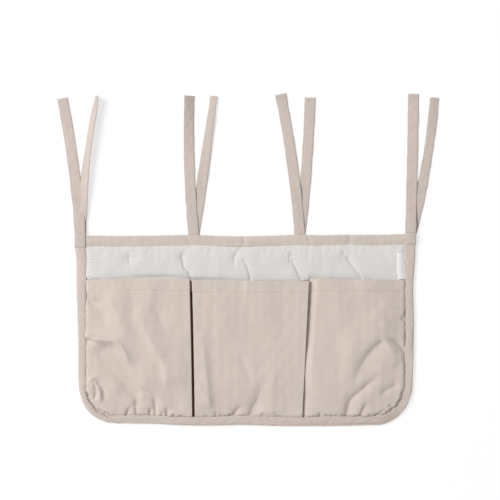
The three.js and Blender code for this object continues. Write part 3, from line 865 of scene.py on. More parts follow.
def back_cloth():
    """Plain back of the panel, drawn in slightly where the tacks come through."""
    x, y = quilt_plan(BACK_CLOTH_INSET)
    dimples = 0.9 * near_tacks(x, y, 8.0)
    z = quilt_back_height(x, y) + BACK_CLOTH_Z + dimples + 0.08 * (1 + uneven(x, y, 60, seed=21))
    points = np.stack([x, y, np.maximum(z, BACK_CLOTH_Z)], axis=2)
    cloth = cloth_grid("back_cloth", points[:, ::-1], points[:, ::-1, :2], QUILT_COTTON)
    return thicken(cloth)


# Bindings
# Sections of the tapes: distance in from the edge and height, from the inner edge on the front to the back
SIDE_TAPE_SECTION = [(14.5, 6.35), (16.6, 6.4), (17.2, 6.75), (16.6, 7.15), (14.2, 7.5), (10, 7.6), (6, 7.4),
                     (2.8, 7.0), (1.1, 6.3), (0.3, 5.3), (0, 4.0), (0.3, 2.0), (1.4, 0.8), (4, 0.35),
                     (10, 0.3), (16.8, 0.3)]
TOP_TAPE_SECTION = [(16.5, 5.55), (18.6, 5.6), (19.2, 5.95), (18.6, 6.4), (16.2, 6.5), (11, 6.95), (6, 6.9),
                    (2.4, 6.4), (0.6, 5.6), (0, 4.5), (0.5, 3.4), (2.2, 2.75), (7, 2.5), (18.8, 2.5)]

# Worn edges: rises by height, place and spread
WORN_BOTTOM = [(2.8, -170, 60), (1.2, -8, 38), (-0.6, 92, 45), (1.6, 215, 40)]
WIDER_BOTTOM = [(1.6, -8, 35), (1.8, 139, 35)]
TOP_RISES = [(1.7, -102, 38), (0.5, -262, 40), (-0.8, -5, 35)]
LEFT_SIDE_WIDTH = 13.2
RIGHT_SIDE_WIDTH = 13.0
BOTTOM_WIDTH = 13.8
LEFT_CORNER_WIDTH = 10.3
RIGHT_CORNER_WIDTH = 11.8
RIB_PITCH = 5.6
RIB_HEIGHT = 1.4


def on_corner(x, y):
    """One inside the two round corners, fading to nothing beside them."""
    angle = np.degrees(np.arctan2(np.maximum(ARC_Y - y, 0), np.maximum(np.abs(x) - ARC_X, 1e-6)))
    return smooth(angle, 4, 18) * (1 - smooth(angle, 74, 88))


def on_low_seam(x, y):
    """One along the bottom seam and the round corners, where the pockets are sewn down."""
    return np.maximum(on_corner(x, y), smooth(-y, 118, 134))


def tape_step(x, y):
    """How far the worn edge lies inside the cut outline, along the sides and the bottom."""
    corner = on_corner(x, y)
    left = smooth(-x, 120, 240) * (2.4 - 1.9 * smooth(y, 112, 146) + 0.8 * corner)
    right = smooth(x, 150, 250) * (2.2 * bell(y - 72, 40) + 0.8 * smooth(y, 110, 150) + 1.5 * corner)
    bottom = smooth(-y, 110, 150) * (1 - corner) * bumps(x, WORN_BOTTOM)
    return np.maximum(left, right) + bottom


def tape_width(x, y):
    """Width of the side tape as it shows on the front, which varies round the edge."""
    to_right = smooth(x, -60, 60)
    in_strip = smooth(y, 75, 105)
    along_left = LEFT_SIDE_WIDTH + 0.02 * y + 1.0 * in_strip
    along_right = RIGHT_SIDE_WIDTH + 4.2 * in_strip + 0.8 * bell(y + 45, 30)
    along_bottom = BOTTOM_WIDTH + bumps(x, WIDER_BOTTOM)
    straight = lerp(lerp(along_left, along_right, to_right), along_bottom, smooth(-y, 118, 150))
    return lerp(straight, lerp(LEFT_CORNER_WIDTH, RIGHT_CORNER_WIDTH, to_right), on_corner(x, y))


def inside_tape(x, y):
    """Distance inwards from the inner edge of the side tape."""
    return edge_distance(x, y) - tape_step(x, y) - tape_width(x, y)


def side_binding():
    """Tape folded round the sides and the bottom, gathered into small ribs at the round corners."""
    points, inward, lengths = edge_path(HALF_HEIGHT, 1.5)
    section = curve_through(SIDE_TAPE_SECTION, 44)
    u, z = section[:, 0][None, :], section[:, 1][None, :]
    x, y = points[:, 0][:, None], points[:, 1][:, None]
    s = lengths[:, None]
    on_front = smooth(z, 4.0, 6.6)
    corner = on_corner(x, y)
    swell = 0.35 * uneven_along(s, 75, seed=31) * on_front * smooth(u, 1, 6)
    wander = 0.25 * uneven_along(s, 80, seed=32) * (1 - u / SIDE_TAPE_WIDTH)
    wander = wander + (0.3 + 0.5 * corner) * uneven_along(s, 22, seed=33) * on_front * smooth(u, 6, 15)
    ribbed = np.sin(2 * math.pi * s / RIB_PITCH + 1.6 * uneven_along(s, 30, seed=34))
    ribs = corner * on_front * smooth(u, 7, 16) * ribbed
    tilt = lerp(0.12, 0.26, smooth(x, -60, 200)) * smooth(-y, 120, 150) * (SIDE_TAPE_WIDTH - u) * on_front
    height = z + swell - tilt + RIB_HEIGHT * ribs + 0.12 * uneven(s, u * 3, 14, seed=35) * on_front
    inset = tape_step(x, y) + (u + 0.5 * ribs) * tape_width(x, y) / SIDE_TAPE_WIDTH + wander
    short = np.where(x < 0, LEFT_TAPE_END, RIGHT_TAPE_END) * smooth(y, HALF_HEIGHT - 20, HALF_HEIGHT)
    grid = np.stack([x + inward[:, 0][:, None] * inset, y + inward[:, 1][:, None] * inset - short,
                     np.maximum(height, 0.1)], axis=2)
    uv = pattern(run_along(section)[None, :], s)
    return thicken(cloth_grid("side_binding", grid, uv, TAPE_COTTON), TAPE_THICKNESS)


TOP_TAPE_CREASES = [
    crease([(-4, 160), (-1.5, 149), (0.5, 134)], depth=1.5, left=1.8, right=2.4, end=0),
    crease([(102, 160), (105, 148), (107, 134)], depth=1.2, left=1.8, right=2.4, end=0),
    crease([(168, 160), (173, 150), (174, 134)], depth=1.5, left=1.8, right=2.4, end=0),
    crease([(-190, 159), (-188, 150), (-187, 143)], depth=0.4, left=2.5, right=2.5),
    crease([(-96, 152), (-90, 144), (-87, 136)], depth=0.8, left=2.0, right=2.0, end=0),
    crease([(214, 159), (217, 151), (219, 143)], depth=0.4, left=2.5, right=2.5),
    crease([(-152, 159), (-149, 150), (-147, 136)], depth=0.4, left=2.5, right=2.5),
]


def top_rise(x):
    """How far the top edge lies above a straight line: up at the ties and towards the right."""
    return 0.2 + bumps(x, TOP_RISES) + 1.5 * smooth(x, 20, 75) + 1.4 * smooth(x, 190, 262)


def top_binding():
    """Tape folded over the top edge, with its ends under the side tape and a few diagonal creases."""
    reach = side_x(HALF_HEIGHT - TOP_TAPE_WIDTH) - 4
    x = np.linspace(reach, -reach, 420)[:, None]
    section = curve_through(TOP_TAPE_SECTION, 40)
    u, z = section[:, 0][None, :] * TOP_TAPE_SHOWN / TOP_TAPE_WIDTH, section[:, 1][None, :]
    on_front = smooth(z, 4.2, 5.6)
    wander = 0.25 * uneven_along(x, 22, seed=42) * on_front
    y = HALF_HEIGHT - u + top_rise(x) + 0.2 * uneven_along(x, 60, seed=41) + wander
    grid_x = x + 0 * u
    swell = 0.25 * uneven_along(x, 50, seed=43) * smooth(u, 1, 5)
    creased = all_folds(grid_x, y, TOP_TAPE_CREASES) * lerp(1, 0.3, smooth(u, 9, 15))
    height = z + on_front * (swell + creased + 0.1 * uneven(grid_x, y, 12, seed=44))
    grid = np.stack([grid_x, y, height], axis=2)
    uv = pattern(run_along(section)[None, :], x)
    return thicken(cloth_grid("top_binding", grid, uv, TAPE_COTTON), TAPE_THICKNESS)


# Pockets
SEAM_Y = SEAM_INSET - HALF_HEIGHT


def pleat_x(line, y):
    """Place of a pleat at a height: from its foot to its mouth, a little bent."""
    mouth_x, foot_x, bend = line
    share = np.clip((y - SEAM_Y) / (LEFT_MOUTH - SEAM_Y), 0, 1.2)
    return lerp(foot_x, mouth_x, share**bend)


def pocket_base(x, y):
    """Pocket cloth before its folds: caught under the tape, up at once beside it and then slowly."""
    inside = inside_tape(x, y)
    at_once = pillow(inside - POCKET_SEAM_START, POCKET_SEAM_RUN)
    slowly = smooth(inside, 0, POCKET_RISE_RUN)
    return POCKET_TUCK_Z + (POCKET_SEAM_Z - POCKET_TUCK_Z) * at_once + (POCKET_TOP_Z - POCKET_SEAM_Z) * slowly


def pocket_floor(x, y):
    """Lowest place of the pocket cloth: just above the wadding under it."""
    by_tape = QUILT_EDGE_Z + 1.0 - on_low_seam(x, y)
    return lerp(by_tape, QUILT_HIDDEN_Z + 0.9, smooth(inside_tape(x, y), 0, HIDDEN_RUN))


LEFT_FOLDS = [
    crease([(-263, 61), (-257.3, 56.3), (-251.4, 49.3), (-242, 45.2), (-231, 43)], depth=3.4, left=2.0,
           right=3.4, spread=1.5, end=0.5),
    crease([(-262, -8), (-245, -13), (-228, -15), (-212, -17), (-203, -25), (-196, -36), (-189, -50),
            (-183, -62)], depth=-3.0, left=5.5, right=4.0, end=0.3),
    crease([(-240, -14), (-218, -36), (-202, -58), (-188, -78), (-177, -94), (-169, -112)], depth=3.6,
           left=5.0, right=10.0, start=0.2, end=0.25),
    crease([(-250, -22), (-231, -42), (-215, -63), (-200, -80), (-187, -96), (-177, -114)], depth=2.4,
           left=9.0, right=9.0, start=0.2, end=0.3),
    crease([(-264, -13), (-254, -16), (-244, -20)], depth=2.6, left=2.0, right=3.0, spread=1.8, end=0.7),
    crease([(-182, 40), (-174, 24), (-155, -15), (-139, -40), (-130, -64), (-124, -104)], depth=-3.1,
           left=17.0, right=5.5, start=0.4, end=0.15),
    crease([(-152, 56), (-146, 40), (-139.6, 23), (-131, -1), (-127, -24)], depth=1.0, left=5.0, right=7.0,
           start=0.45, end=0.4),
    crease([(-178, -91), (-166, -98), (-152, -105), (-146, -114), (-149, -127)], depth=2.5, left=4.0,
           right=4.0, start=0.3, end=0.3),
    crease([(-184, -95), (-176, -113), (-174.5, -126)], depth=2.6, left=3.0, right=5.0, start=0.3, end=0.3),
    crease([(-228, 70), (-214, 36), (-200, 8), (-180, -14)], depth=-2.0, left=13.0, right=8.0, start=0.25,
           end=0.4),
    crease([(-250, 60), (-236, 30), (-222, 4)], depth=1.1, left=8.0, right=8.0, start=0.3),
    crease([(-254, -74), (-247, -84), (-238, -98), (-236, -120)], depth=-3.0, left=3.6, right=3.6,
           start=0.2, end=0.2),
    crease([(-252, -78), (-245, -90), (-244, -104), (-248, -114)], depth=2.4, left=2.0, right=2.0,
           start=0.2, end=0.3),
    crease([(-244, -82), (-232, -96), (-228, -116)], depth=1.2, left=3.0, right=6.0, start=0.2, end=0.3),
]
MIDDLE_FOLDS = [
    crease([(2.5, 90), (2.2, 66), (1.5, 40)], depth=-0.8, left=7.0, right=1.8),
    crease([(-70, 24), (-66, -40), (-61, -90), (-55, -134)], depth=-1.8, left=5.0, right=13.0, start=0.4,
           end=0.12),
    crease([(-54, 56), (-54, 10), (-52, -40)], depth=0.6, left=5.0, right=9.0, start=0.3, end=0.4),
    crease([(7, -143), (14, -126), (21.5, -110), (27, -88), (31, -70)], depth=2.6, left=3.4, right=6.0,
           spread=1.8, end=0.8),
    crease([(-22, -143), (-13, -130), (0, -118)], depth=2.2, left=2.2, right=4.0, spread=1.6, end=0.6),
    crease([(-12, -32), (-2, -52), (8, -76), (12, -92)], depth=1.0, left=4.0, right=7.0, start=0.4,
           end=0.4),
    crease([(-80, -84), (-66, -102), (-53, -122)], depth=-0.9, left=3.0, right=8.0, start=0.3, end=0.3),
    crease([(46, -138), (42, -110), (48, -70), (52, -46)], depth=-0.9, left=8.0, right=8.0, start=0.1,
           end=0.5),
    crease([(60, 66), (62, -20), (74, -120)], depth=0.6, left=12.0, right=12.0, start=0.3),
]
RIGHT_FOLDS = [
    crease([(112, -126), (180, -72), (262, 4)], depth=-2.2, left=40.0, right=45.0, start=0.2, end=0.2),
    crease([(266, -38), (259, -30), (251, -20.5), (240, -15.5), (227, -16)], depth=3.0, left=6.0, right=3.4,
           end=0.5),
    crease([(231, -13.5), (222, -19.5), (213, -27), (204, -37), (196, -48), (187, -66), (178, -86),
            (172, -106)], depth=2.9, left=11.0, right=4.0, spread=2.0, start=0.15, end=0.35),
    crease([(166, -142), (170, -121), (176, -109.5), (187, -100), (200, -88.5), (213, -77), (225, -65)],
           depth=2.7, left=4.4, right=6.0, spread=1.3, end=0.4),
    crease([(188, -142), (194.7, -126), (203, -114)], depth=2.1, left=2.2, right=4.5, spread=1.5, end=0.6),
    crease([(266, 12), (259, 20), (249, 27)], depth=1.3, left=2.0, right=2.0, end=0.7),
    crease([(212, 53), (236, 41), (262, 27)], depth=-1.5, left=5.0, right=6.0, start=0.4, end=0.1),
    crease([(208, 38), (226, 16), (243, -6)], depth=-1.3, left=10.0, right=9.0, start=0.4, end=0.4),
    crease([(252, -84), (239, -93), (227, -100), (220, -112)], depth=1.6, left=5.0, right=4.0, start=0.2),
    crease([(233, -120), (240, -125), (242, -130), (238, -139)], depth=1.7, left=1.8, right=1.8, start=0.2,
           end=0),
    crease([(212, -142), (222, -134), (234, -128)], depth=1.4, left=1.7, right=2.5),
    crease([(252, -58), (238, -44), (222, -40)], depth=-0.8, left=9.0, right=9.0, start=0.3),
    crease([(150, 40), (156, -40), (136, -114)], depth=0.8, left=14.0, right=14.0, start=0.3),
    crease([(190, 40), (178, -20), (160, -70)], depth=-0.6, left=12.0, right=12.0, start=0.3),
]

# Gathers along the bottom seam: where each starts, how far it runs up, how far it leans and how deep it is
LEFT_GATHERS = [(-196, 22, 10, 2.4), (-177, 34, -3, 1.7), (-155, 20, 0, 2.6), (-146, 36, -2, 2.6),
                (-127, 20, -2, 2.4), (-172, 7, 2, 1.3), (-164, 8, 1, 1.3), (-137, 12, 2, 1.5),
                (-118, 7, 1, 1.3), (-105, 6, 1, 1.2), (-188, 8, 3, 1.0)]
MIDDLE_GATHERS = [(-47.5, 12, -1, 1.5), (-41, 8, 3, 1.5), (-33, 5, 1, 0.9), (-25, 7, 2, 1.1),
                  (28, 10, 2, 1.8), (51, 5, 1, 1.1), (58, 5, 2, 1.0), (-2, 6, 2, 0.8), (-64, 5, 0, 0.7)]
RIGHT_GATHERS = [(122, 10, 1, 1.8), (133, 7, 1, 1.2), (140, 6, 2, 1.1), (149, 7, 2, 1.2), (158, 5, 2, 0.8),
                 (181, 6, 2, 1.2), (204, 8, 3, 1.9), (212, 7, 4, 1.4), (113, 5, 0, 0.8)]


def seam_gathers(gathers):
    """Narrow valleys that rise from the bottom seam."""
    return [crease([(x, SEAM_Y - 4), (x + lean / 2, SEAM_Y + run / 2), (x + lean, SEAM_Y + run)], depth=depth,
                   left=1.5, right=2.2, spread=1.8, end=0.65) for x, run, lean, depth in gathers]


def corner_gathers(side, seed):
    """Small ribs that run in from the tape of a round corner."""
    rng = np.random.default_rng(seed)
    radius = CORNER_RADIUS - SEAM_INSET + 1.5
    ribs = []
    for angle in np.radians(np.arange(12, 86, 7.0)):
        angle = angle + rng.uniform(-0.03, 0.03)
        run = rng.uniform(5, 11)
        heading = np.array((side * math.cos(angle), -math.sin(angle)))
        outer = np.array((side * ARC_X, ARC_Y)) + radius * heading
        ribs.append(crease([outer, outer - heading * run / 2, outer - heading * run],
                           depth=rng.uniform(1.2, 3.0), left=rng.uniform(1.3, 1.9),
                           right=rng.uniform(1.3, 1.9), spread=1.6, end=0.7))
    return ribs


def pocket_rows(mouth, rounded):
    radius = CORNER_RADIUS - POCKET_TUCK_INSET
    if rounded:
        angles = np.linspace(math.pi / 2, 0, 60, endpoint=False)
        lower = ARC_Y - radius * np.sin(angles)
    else:
        lower = np.linspace(ARC_Y - radius, ARC_Y, 42, endpoint=False)
    return np.concatenate([lower, np.linspace(ARC_Y, mouth, int((mouth - ARC_Y) / POCKET_STEP))])


def turn_hem(points):
    """Adds rows that fold the cloth over at the mouth and down inside, to the depth of the hem."""
    mouth = points[-1]
    rows = []
    for angle in np.radians((35, 75, 110, 150)):
        row = mouth.copy()
        row[:, 1] += HEM_TURN * math.sin(angle)
        row[:, 2] -= HEM_TURN * (1 - math.cos(angle))
        rows.append(row)
    inside = points[::-1]
    depth = mouth[None, :, 1] - inside[:, :, 1]
    for row in inside[depth.mean(axis=1) < HEM]:
        turned = row.copy()
        turned[:, 2] -= 2 * HEM_TURN
        rows.append(turned)
    return np.concatenate([points, np.array(rows)])


def turn_edge(points, side):
    """Adds columns that fold the cloth under at a pleat, on the right (1) or the left (-1) of the pocket."""
    edge = points[:, -1] if side > 0 else points[:, 0]
    columns = []
    for angle in np.radians((40, 90, 140, 180)):
        column = edge.copy()
        column[:, 0] += side * HEM_TURN * math.sin(angle)
        column[:, 2] -= HEM_TURN * (1 - math.cos(angle))
        columns.append(column)
    for back in (2.0, 4.0):
        column = edge.copy()
        column[:, 0] -= side * back
        column[:, 2] -= 2 * HEM_TURN
        columns.append(column)
    extra = np.stack(columns, axis=1)
    if side > 0:
        return np.concatenate([points, extra], axis=1)
    return np.concatenate([extra[:, ::-1], points], axis=1)


def pocket_cloth(name, edges, mouth, folds, wave, seed, rounded=False, drop=None, free=(1, -1)):
    """One pocket front: a grid between its two edges, lifted by its folds, hemmed at the mouth and turned
    under at the pleats on its free sides."""
    left_edge, right_edge = edges
    mouth = mouth - HEM_TURN
    rows = pocket_rows(mouth, rounded)
    columns = int((right_edge(0) - left_edge(0)) / POCKET_STEP)
    share = np.linspace(0, 1, columns)[None, :]
    y = np.repeat(rows[:, None], columns, axis=1)
    x = lerp(left_edge(y[:, :1]), right_edge(y[:, :1]), share)
    y = y + wave(x) * smooth(y, mouth - 70, mouth)
    inside = inside_tape(x, y)
    off_seam = smooth(inside, -3, 2)
    puckers = np.exp(-np.maximum(inside, 0) / 5) * uneven(x, y, 9, seed + 2)
    loose = 0.45 * uneven(x, 0.5 * y, 50, seed) + 0.1 * uneven(x, 0.6 * y, 17, seed + 1) + 0.35 * puckers
    z = pocket_base(x, y) + off_seam * (FOLD_STRENGTH * all_folds(x, y, folds) + loose)
    z = z - 0.35 * bell(y - mouth + HEM - 1, 1.3) * off_seam
    if drop is not None:
        z = z - drop(x, y)
    floor = pocket_floor(x, y)
    softness = 0.4
    z = floor + softness * np.logaddexp(0, (z - floor) / softness)
    points = turn_hem(np.stack([x, y, z], axis=2))
    for side in free:
        points = turn_edge(points, side)
    return thicken(cloth_grid(name, points, points[:, :, :2], POCKET_COTTON))


def seam_edge(side):
    return lambda y: side * half_width(y, POCKET_TUCK_INSET)


def beside_pleat(line, offset):
    return lambda y: pleat_x(line, y) + offset


# How far each mouth rises above a straight line
def left_mouth_wave(x):
    return bumps(x, [(1.8, -165, 55), (-0.6, -262, 30)])


def middle_mouth_wave(x):
    return 1.9 - 0.01 * (x + 88)


def right_mouth_wave(x):
    return bumps(x, [(3.2, 130, 70), (1.2, 262, 50)])


def left_pocket_cloth():
    folds = LEFT_FOLDS + seam_gathers(LEFT_GATHERS) + corner_gathers(-1, seed=51)
    edges = seam_edge(-1), beside_pleat(LEFT_PLEAT, -LEFT_PLEAT_GAP / 2 - HEM_TURN)
    return pocket_cloth("pocket_left_cloth", edges, LEFT_MOUTH, folds, left_mouth_wave, seed=52,
                        rounded=True, free=(1,))


def middle_pocket_cloth():
    folds = MIDDLE_FOLDS + seam_gathers(MIDDLE_GATHERS)
    edges = beside_pleat(LEFT_PLEAT, LEFT_PLEAT_GAP / 2 + HEM_TURN), beside_pleat(RIGHT_PLEAT, -HEM_TURN)
    return pocket_cloth("pocket_middle_cloth", edges, MIDDLE_MOUTH, folds, middle_mouth_wave, seed=62)


def sunk_edge(x, y):
    """How much lower the right pocket lies where it runs under the middle pocket's edge."""
    aside = x - pleat_x(RIGHT_PLEAT, y)
    depth = lerp(3.4, 6.4, smooth(y, SEAM_Y + 10, SEAM_Y + 150))
    shelf = lerp(1.6, 3.4, smooth(y, SEAM_Y + 60, SEAM_Y + 200))
    return depth * np.where(aside < shelf, 1.0, bell(aside - shelf, 6))


def right_pocket_cloth():
    folds = RIGHT_FOLDS + seam_gathers(RIGHT_GATHERS) + corner_gathers(1, seed=71)
    edges = beside_pleat(RIGHT_PLEAT, RIGHT_PLEAT_GAP + HEM_TURN), seam_edge(1)
    return pocket_cloth("pocket_right_cloth", edges, RIGHT_MOUTH, folds, right_mouth_wave, seed=72,
                        rounded=True, drop=sunk_edge, free=(-1,))


# Pleats
# Section of half a pleat from under the pocket's edge: distance from the middle of the pleat, how far it lies
# below the pocket, and how much of the way it goes down to the quilting
PLEAT_LIP = 6.0
PLEAT_TURN = PLEAT_LIP + PLEAT_DEPTH
PLEAT_SECTION = [(PLEAT_LIP, 0.0, 0), (PLEAT_LIP + 12, -0.2, 0), (PLEAT_LIP + 24, -0.2, 0),
                 (PLEAT_TURN, -0.4, 0), (PLEAT_TURN + 0.8, -1.0, 0), (PLEAT_TURN, -1.6, 0),
                 (PLEAT_LIP + 22, -1.8, 0), (PLEAT_LIP + 9, -1.9, 0), (PLEAT_LIP + 2, -2.3, 0.5),
                 (3.0, -2.4, 0.95), (-0.4, -2.4, 1)]


def half_pleat(name, line, side, mouth, sink=0.0):
    """Half of an inverted pleat: the return under the pocket's edge and the underlay back to its seam."""
    y = np.linspace(SEAM_Y + PLEAT_FOOT_RISE, mouth, 70)
    centre = pleat_x(line, y)
    top = pocket_base(centre, y) - 2 * HEM_TURN - CLOTH - sink
    low = np.maximum(np.minimum(PLEAT_LOW_Z, top - 4.5), quilt_front_height(centre, y) + 0.8)
    columns = []
    for offset, fall, share in PLEAT_SECTION:
        height = np.maximum(lerp(top + fall, low, share), QUILT_FLOOR_Z)
        columns.append(np.stack([centre + side * offset, y, height], axis=1))
    points = np.stack(columns, axis=1)
    widths = run_along([point[:2] for point in PLEAT_SECTION])
    uv = pattern(widths[None, :], y[:, None])
    if side < 0:
        points, uv = points[:, ::-1], uv[:, ::-1]
    pleat = cloth_grid(name, points, uv, POCKET_COTTON)
    paint_shade_on_pleat_floor(pleat, side, len(PLEAT_SECTION) - 1)
    return thicken(pleat, PLEAT_THICKNESS)


def paint_shade_on_pleat_floor(pleat, side, strips):
    """Painted shade on the narrow floor of the pleat, which light reaches only through both layers: its faces
    there take a deep warm brown colour that stands in for that shade.
    """
    pleat.data.materials.append(PLEAT_PAINTED_SHADE)
    strip = np.arange(len(pleat.data.polygons)) % strips
    from_floor = strips - 1 - strip if side > 0 else strip
    pleat.data.polygons.foreach_set("material_index", (from_floor == 0).astype(np.int32))


# Ties
def unit(directions):
    return directions / np.linalg.norm(directions, axis=1)[:, None]


def tie_line(tail, share):
    """Place and heading of a tie, and how far it is turned, at shares of its length."""
    reach, bow = tail["length"], tail["bow"]
    lean = math.radians(tail["lean"])
    tip = np.array((reach * math.sin(lean), reach * math.cos(lean)))
    middle = np.array((tip[0] / 2 + 2 * bow * reach, tip[1] / 2))
    t = share[:, None]
    route = 2 * t * (1 - t) * middle + t * t * tip
    heading = unit(2 * (1 - t) * middle + 2 * t * (tip - middle))
    heading = unit(lerp(np.array((0.0, 1.0)), heading, smooth(t, 0, 0.15)))
    turning = smooth(share, *tail["turning"]) ** 0.8 + 0.3 * smooth(share, 0.86, 1)
    return route, heading, math.radians(tail["twist"]) * turning


def lift_over(pair, share):
    """How far the front tie of a pair is held up by the one under it."""
    route_back, _, turned_back = tie_line(pair["back"], share)
    route_front, _, _ = tie_line(pair["front"], share)
    apart = route_back[:, 0] - route_front[:, 0]
    shared = TIE_WIDTH / 2 * (1 + np.cos(turned_back)) - apart
    held = smooth(shared, -2, 2) * (TIE_THICKNESS + 0.3 + TIE_WIDTH * np.sin(np.maximum(-turned_back, 0)))
    reach = 8
    window = np.ones(2 * reach + 1) / (2 * reach + 1)
    return np.convolve(np.pad(held, reach, mode="edge"), window, mode="valid")


def tie_frame(pair, part):
    """Middle line of a tie and the directions across it and out of it, from its root to its tip."""
    share = np.linspace(0, 1, TIE_STATIONS)
    tail = pair[part]
    route, heading, turned = tie_line(tail, share)
    run = share * tail["length"]
    rise = pair["base"] * (1 - smooth(share, 0.02, 0.2)) + tail["root"] * (1 - smooth(run, 5, TIE_FALL))
    if part == "front":
        rise = rise + lift_over(pair, share)
    rise = rise + (TIE_WIDTH * np.abs(np.sin(turned)) + TIE_THICKNESS * np.cos(turned)) / 2
    rise = rise + 0.35 * (1 + uneven_along(run, 48, tail["seed"])) * smooth(share, 0.08, 0.3)
    centre = np.stack([pair["x"] + route[:, 0], tail["start"] + route[:, 1], rise], axis=1)
    level, tipped = np.cos(turned), np.sin(turned)
    across = np.stack([heading[:, 1] * level, -heading[:, 0] * level, tipped], axis=1)
    out = np.stack([-heading[:, 1] * tipped, heading[:, 0] * tipped, level], axis=1)
    return run, centre, across, out


def tie_strap(name, pair, part):
    """One tie: a flat tape folded lengthwise, with its tip turned in and sewn."""
    run, centre, across, out = tie_frame(pair, part)
    length, seed = pair[part]["length"], pair[part]["seed"]
    width = np.linspace(-1, 1, 15)[None, :]
    drawn_in = lerp(1, pair[part]["slim"], smooth(run / length, *pair[part]["drawn"]))
    half = TIE_WIDTH / 2 * (drawn_in + 0.02 * uneven_along(run, 30, seed + 1))[:, None]
    end_fold = 0.2 * smooth(run, length - 6.5, length - 5.5)[:, None]
    dimple = 0.12 * uneven(run[:, None], width * 9, 16, seed + 2)
    crown = TIE_THICKNESS / 2 - 0.3 * width**4 + end_fold + dimple * (1 - width**2)
    points = (centre[:, None, :] + across[:, None, :] * (width * half)[:, :, None]
              + out[:, None, :] * crown[:, :, None])
    uv = pattern(width * TIE_WIDTH / 2, run[:, None])
    return rest_on_floor(thicken(cloth_grid(name, points, uv, TIE_COTTON), TIE_THICKNESS))


def rest_on_floor(obj):
    """Flattens what would sink below the floor."""
    for vertex in obj.data.vertices:
        vertex.co.z = max(vertex.co.z, 0.0)
    return obj


def root_patch(name, x, low, high):
    """End of an outer tie, sewn flat on the front of the side tape."""
    y = np.linspace(low, high, 24)[:, None]
    across = np.linspace(-TIE_WIDTH / 2, TIE_WIDTH / 2, 13)[None, :]
    z = PATCH_Z - 0.006 * across**2 - 2.0 * smooth(y, high - 4, high) - 0.3 * smooth(low + 2.5 - y, 0, 2.5)
    points = np.stack(np.broadcast_arrays(x + across, y, z), axis=2)
    return thicken(cloth_grid(name, points, pattern(across, y - low), TIE_COTTON), PATCH_THICKNESS)


def tie_rows(pair, part, strap):
    """Stitch routes of one tie: along both edges and across the folded tip."""
    run, centre, across, _ = tie_frame(pair, part)
    inset = TIE_WIDTH / 2 - TIE_ROW_INSET
    length = pair[part]["length"]
    shown = (run > 6) & (run < length - 3)
    routes = [(centre + side * inset * across)[shown, :2] for side in (-1, 1)]
    tip = np.argmin(np.abs(run - length + 4.5))
    routes.append(centre[tip, :2] + across[tip, :2] * np.linspace(-inset, inset, 7)[:, None])
    return [drop_on(route, [strap]) for route in routes]


def tab_strap(name, x, folded):
    """Sewn-in root of a pair of ties behind the top tape: a strap folded in half, or the end of one."""
    end, fold_y = HALF_HEIGHT + 0.6, HALF_HEIGHT - TAB_LENGTH
    half_way = lerp(end, fold_y, 0.5)
    if folded:
        section = [(end, 0.0), (half_way, 0.0), (fold_y, 0.0), (fold_y - 0.9, 0.4), (fold_y - 1.1, 1.05),
                   (fold_y - 0.9, 1.7), (fold_y, 2.1), (half_way, 2.1), (end, 2.1)]
        half = TIE_WIDTH / 2
    else:
        section = [(end, OUTER_TIE_BASE), (half_way, OUTER_TIE_BASE), (fold_y, OUTER_TIE_BASE)]
        half = TIE_WIDTH / 2 - 1.5
    section = curve_through(section, 36)
    across = np.linspace(half, -half, 9)
    points = np.array([[(x + a, y, z) for y, z in section] for a in across])
    uv = pattern(across[:, None], run_along(section)[None, :])
    return thicken(cloth_grid(name, points, uv, TAPE_COTTON), TAB_THICKNESS)


# Blank label: how far its ends reach under the tape, the height of its root, how it curls up and narrows, the
# stretch where it bends, and its section from one end over the fold to the other
LABEL_TUCK = 3.5
LABEL_ROOT_Z = 6.5
LABEL_CURL = 0.2
LABEL_SKEW = 0.1
LABEL_SECTION = [(0, 5.5), (3.5, 6.0), (7, 7.4), (11, 8.3), (14.0, 8.9), (15.6, 9.5), (16.1, 10.0),
                 (15.6, 10.5), (14.0, 10.5), (11, 9.8), (7, 8.5), (3.5, 6.5), (0, 6.0)]


def label_ribbon():
    """Blank ribbon folded double, its ends caught under the side tape and its fold off the quilting."""
    low, high = node_box("label")
    y = np.linspace(low[1] - 1.0, high[1] - 1.5, 30)
    root = side_x(y) - tape_step(side_x(y), y) - tape_width(side_x(y), y) + LABEL_TUCK
    section = curve_through(LABEL_SECTION, 40)
    curl = 1 + LABEL_CURL * (y - low[1]) / (high[1] - low[1])
    skew = 1 - LABEL_SKEW * (high[1] - y) / (high[1] - low[1])
    x = root[:, None] - section[:, 0][None, :] * skew[:, None]
    z = LABEL_ROOT_Z + (section[:, 1][None, :] - LABEL_ROOT_Z) * curl[:, None]
    points = np.stack([x, np.repeat(y[:, None], len(section), axis=1), z], axis=2)
    uv = pattern(run_along(section)[None, :], y[:, None])
    return thicken(cloth_grid("label_ribbon", points, uv, LABEL_RIBBON), RIBBON_THICKNESS)


# Every soft piece, made once
pad = quilt_pad()
back = back_cloth()
side_tape = side_binding()
top_tape = top_binding()
left_pocket = left_pocket_cloth()
middle_pocket = middle_pocket_cloth()
right_pocket = right_pocket_cloth()
label = label_ribbon()
pleats = {
    "left_outer": half_pleat("pleat_left_outer", LEFT_PLEAT, -1, LEFT_MOUTH - 2.0),
    "left_inner": half_pleat("pleat_left_inner", LEFT_PLEAT, 1, MIDDLE_MOUTH - 1.0),
    "right_inner": half_pleat("pleat_right_inner", RIGHT_PLEAT, -1, MIDDLE_MOUTH + 1.8),
    "right_outer": half_pleat("pleat_right_outer", RIGHT_PLEAT, 1, RIGHT_MOUTH - 2.0, sink=4.0),
}


# Sewing: how far rows lie inside the edges that they follow, and the size of a tack
SIDE_ROW_INSET = 2.2
TOP_ROW_INSET = 2.4
PATCH_ROW_ASIDE = 7.4
HEM_ROW_INSET = 1.2
TACK_HALF_LENGTH = 4
TACK_THREADS = (-0.7, 0.0, 0.7)


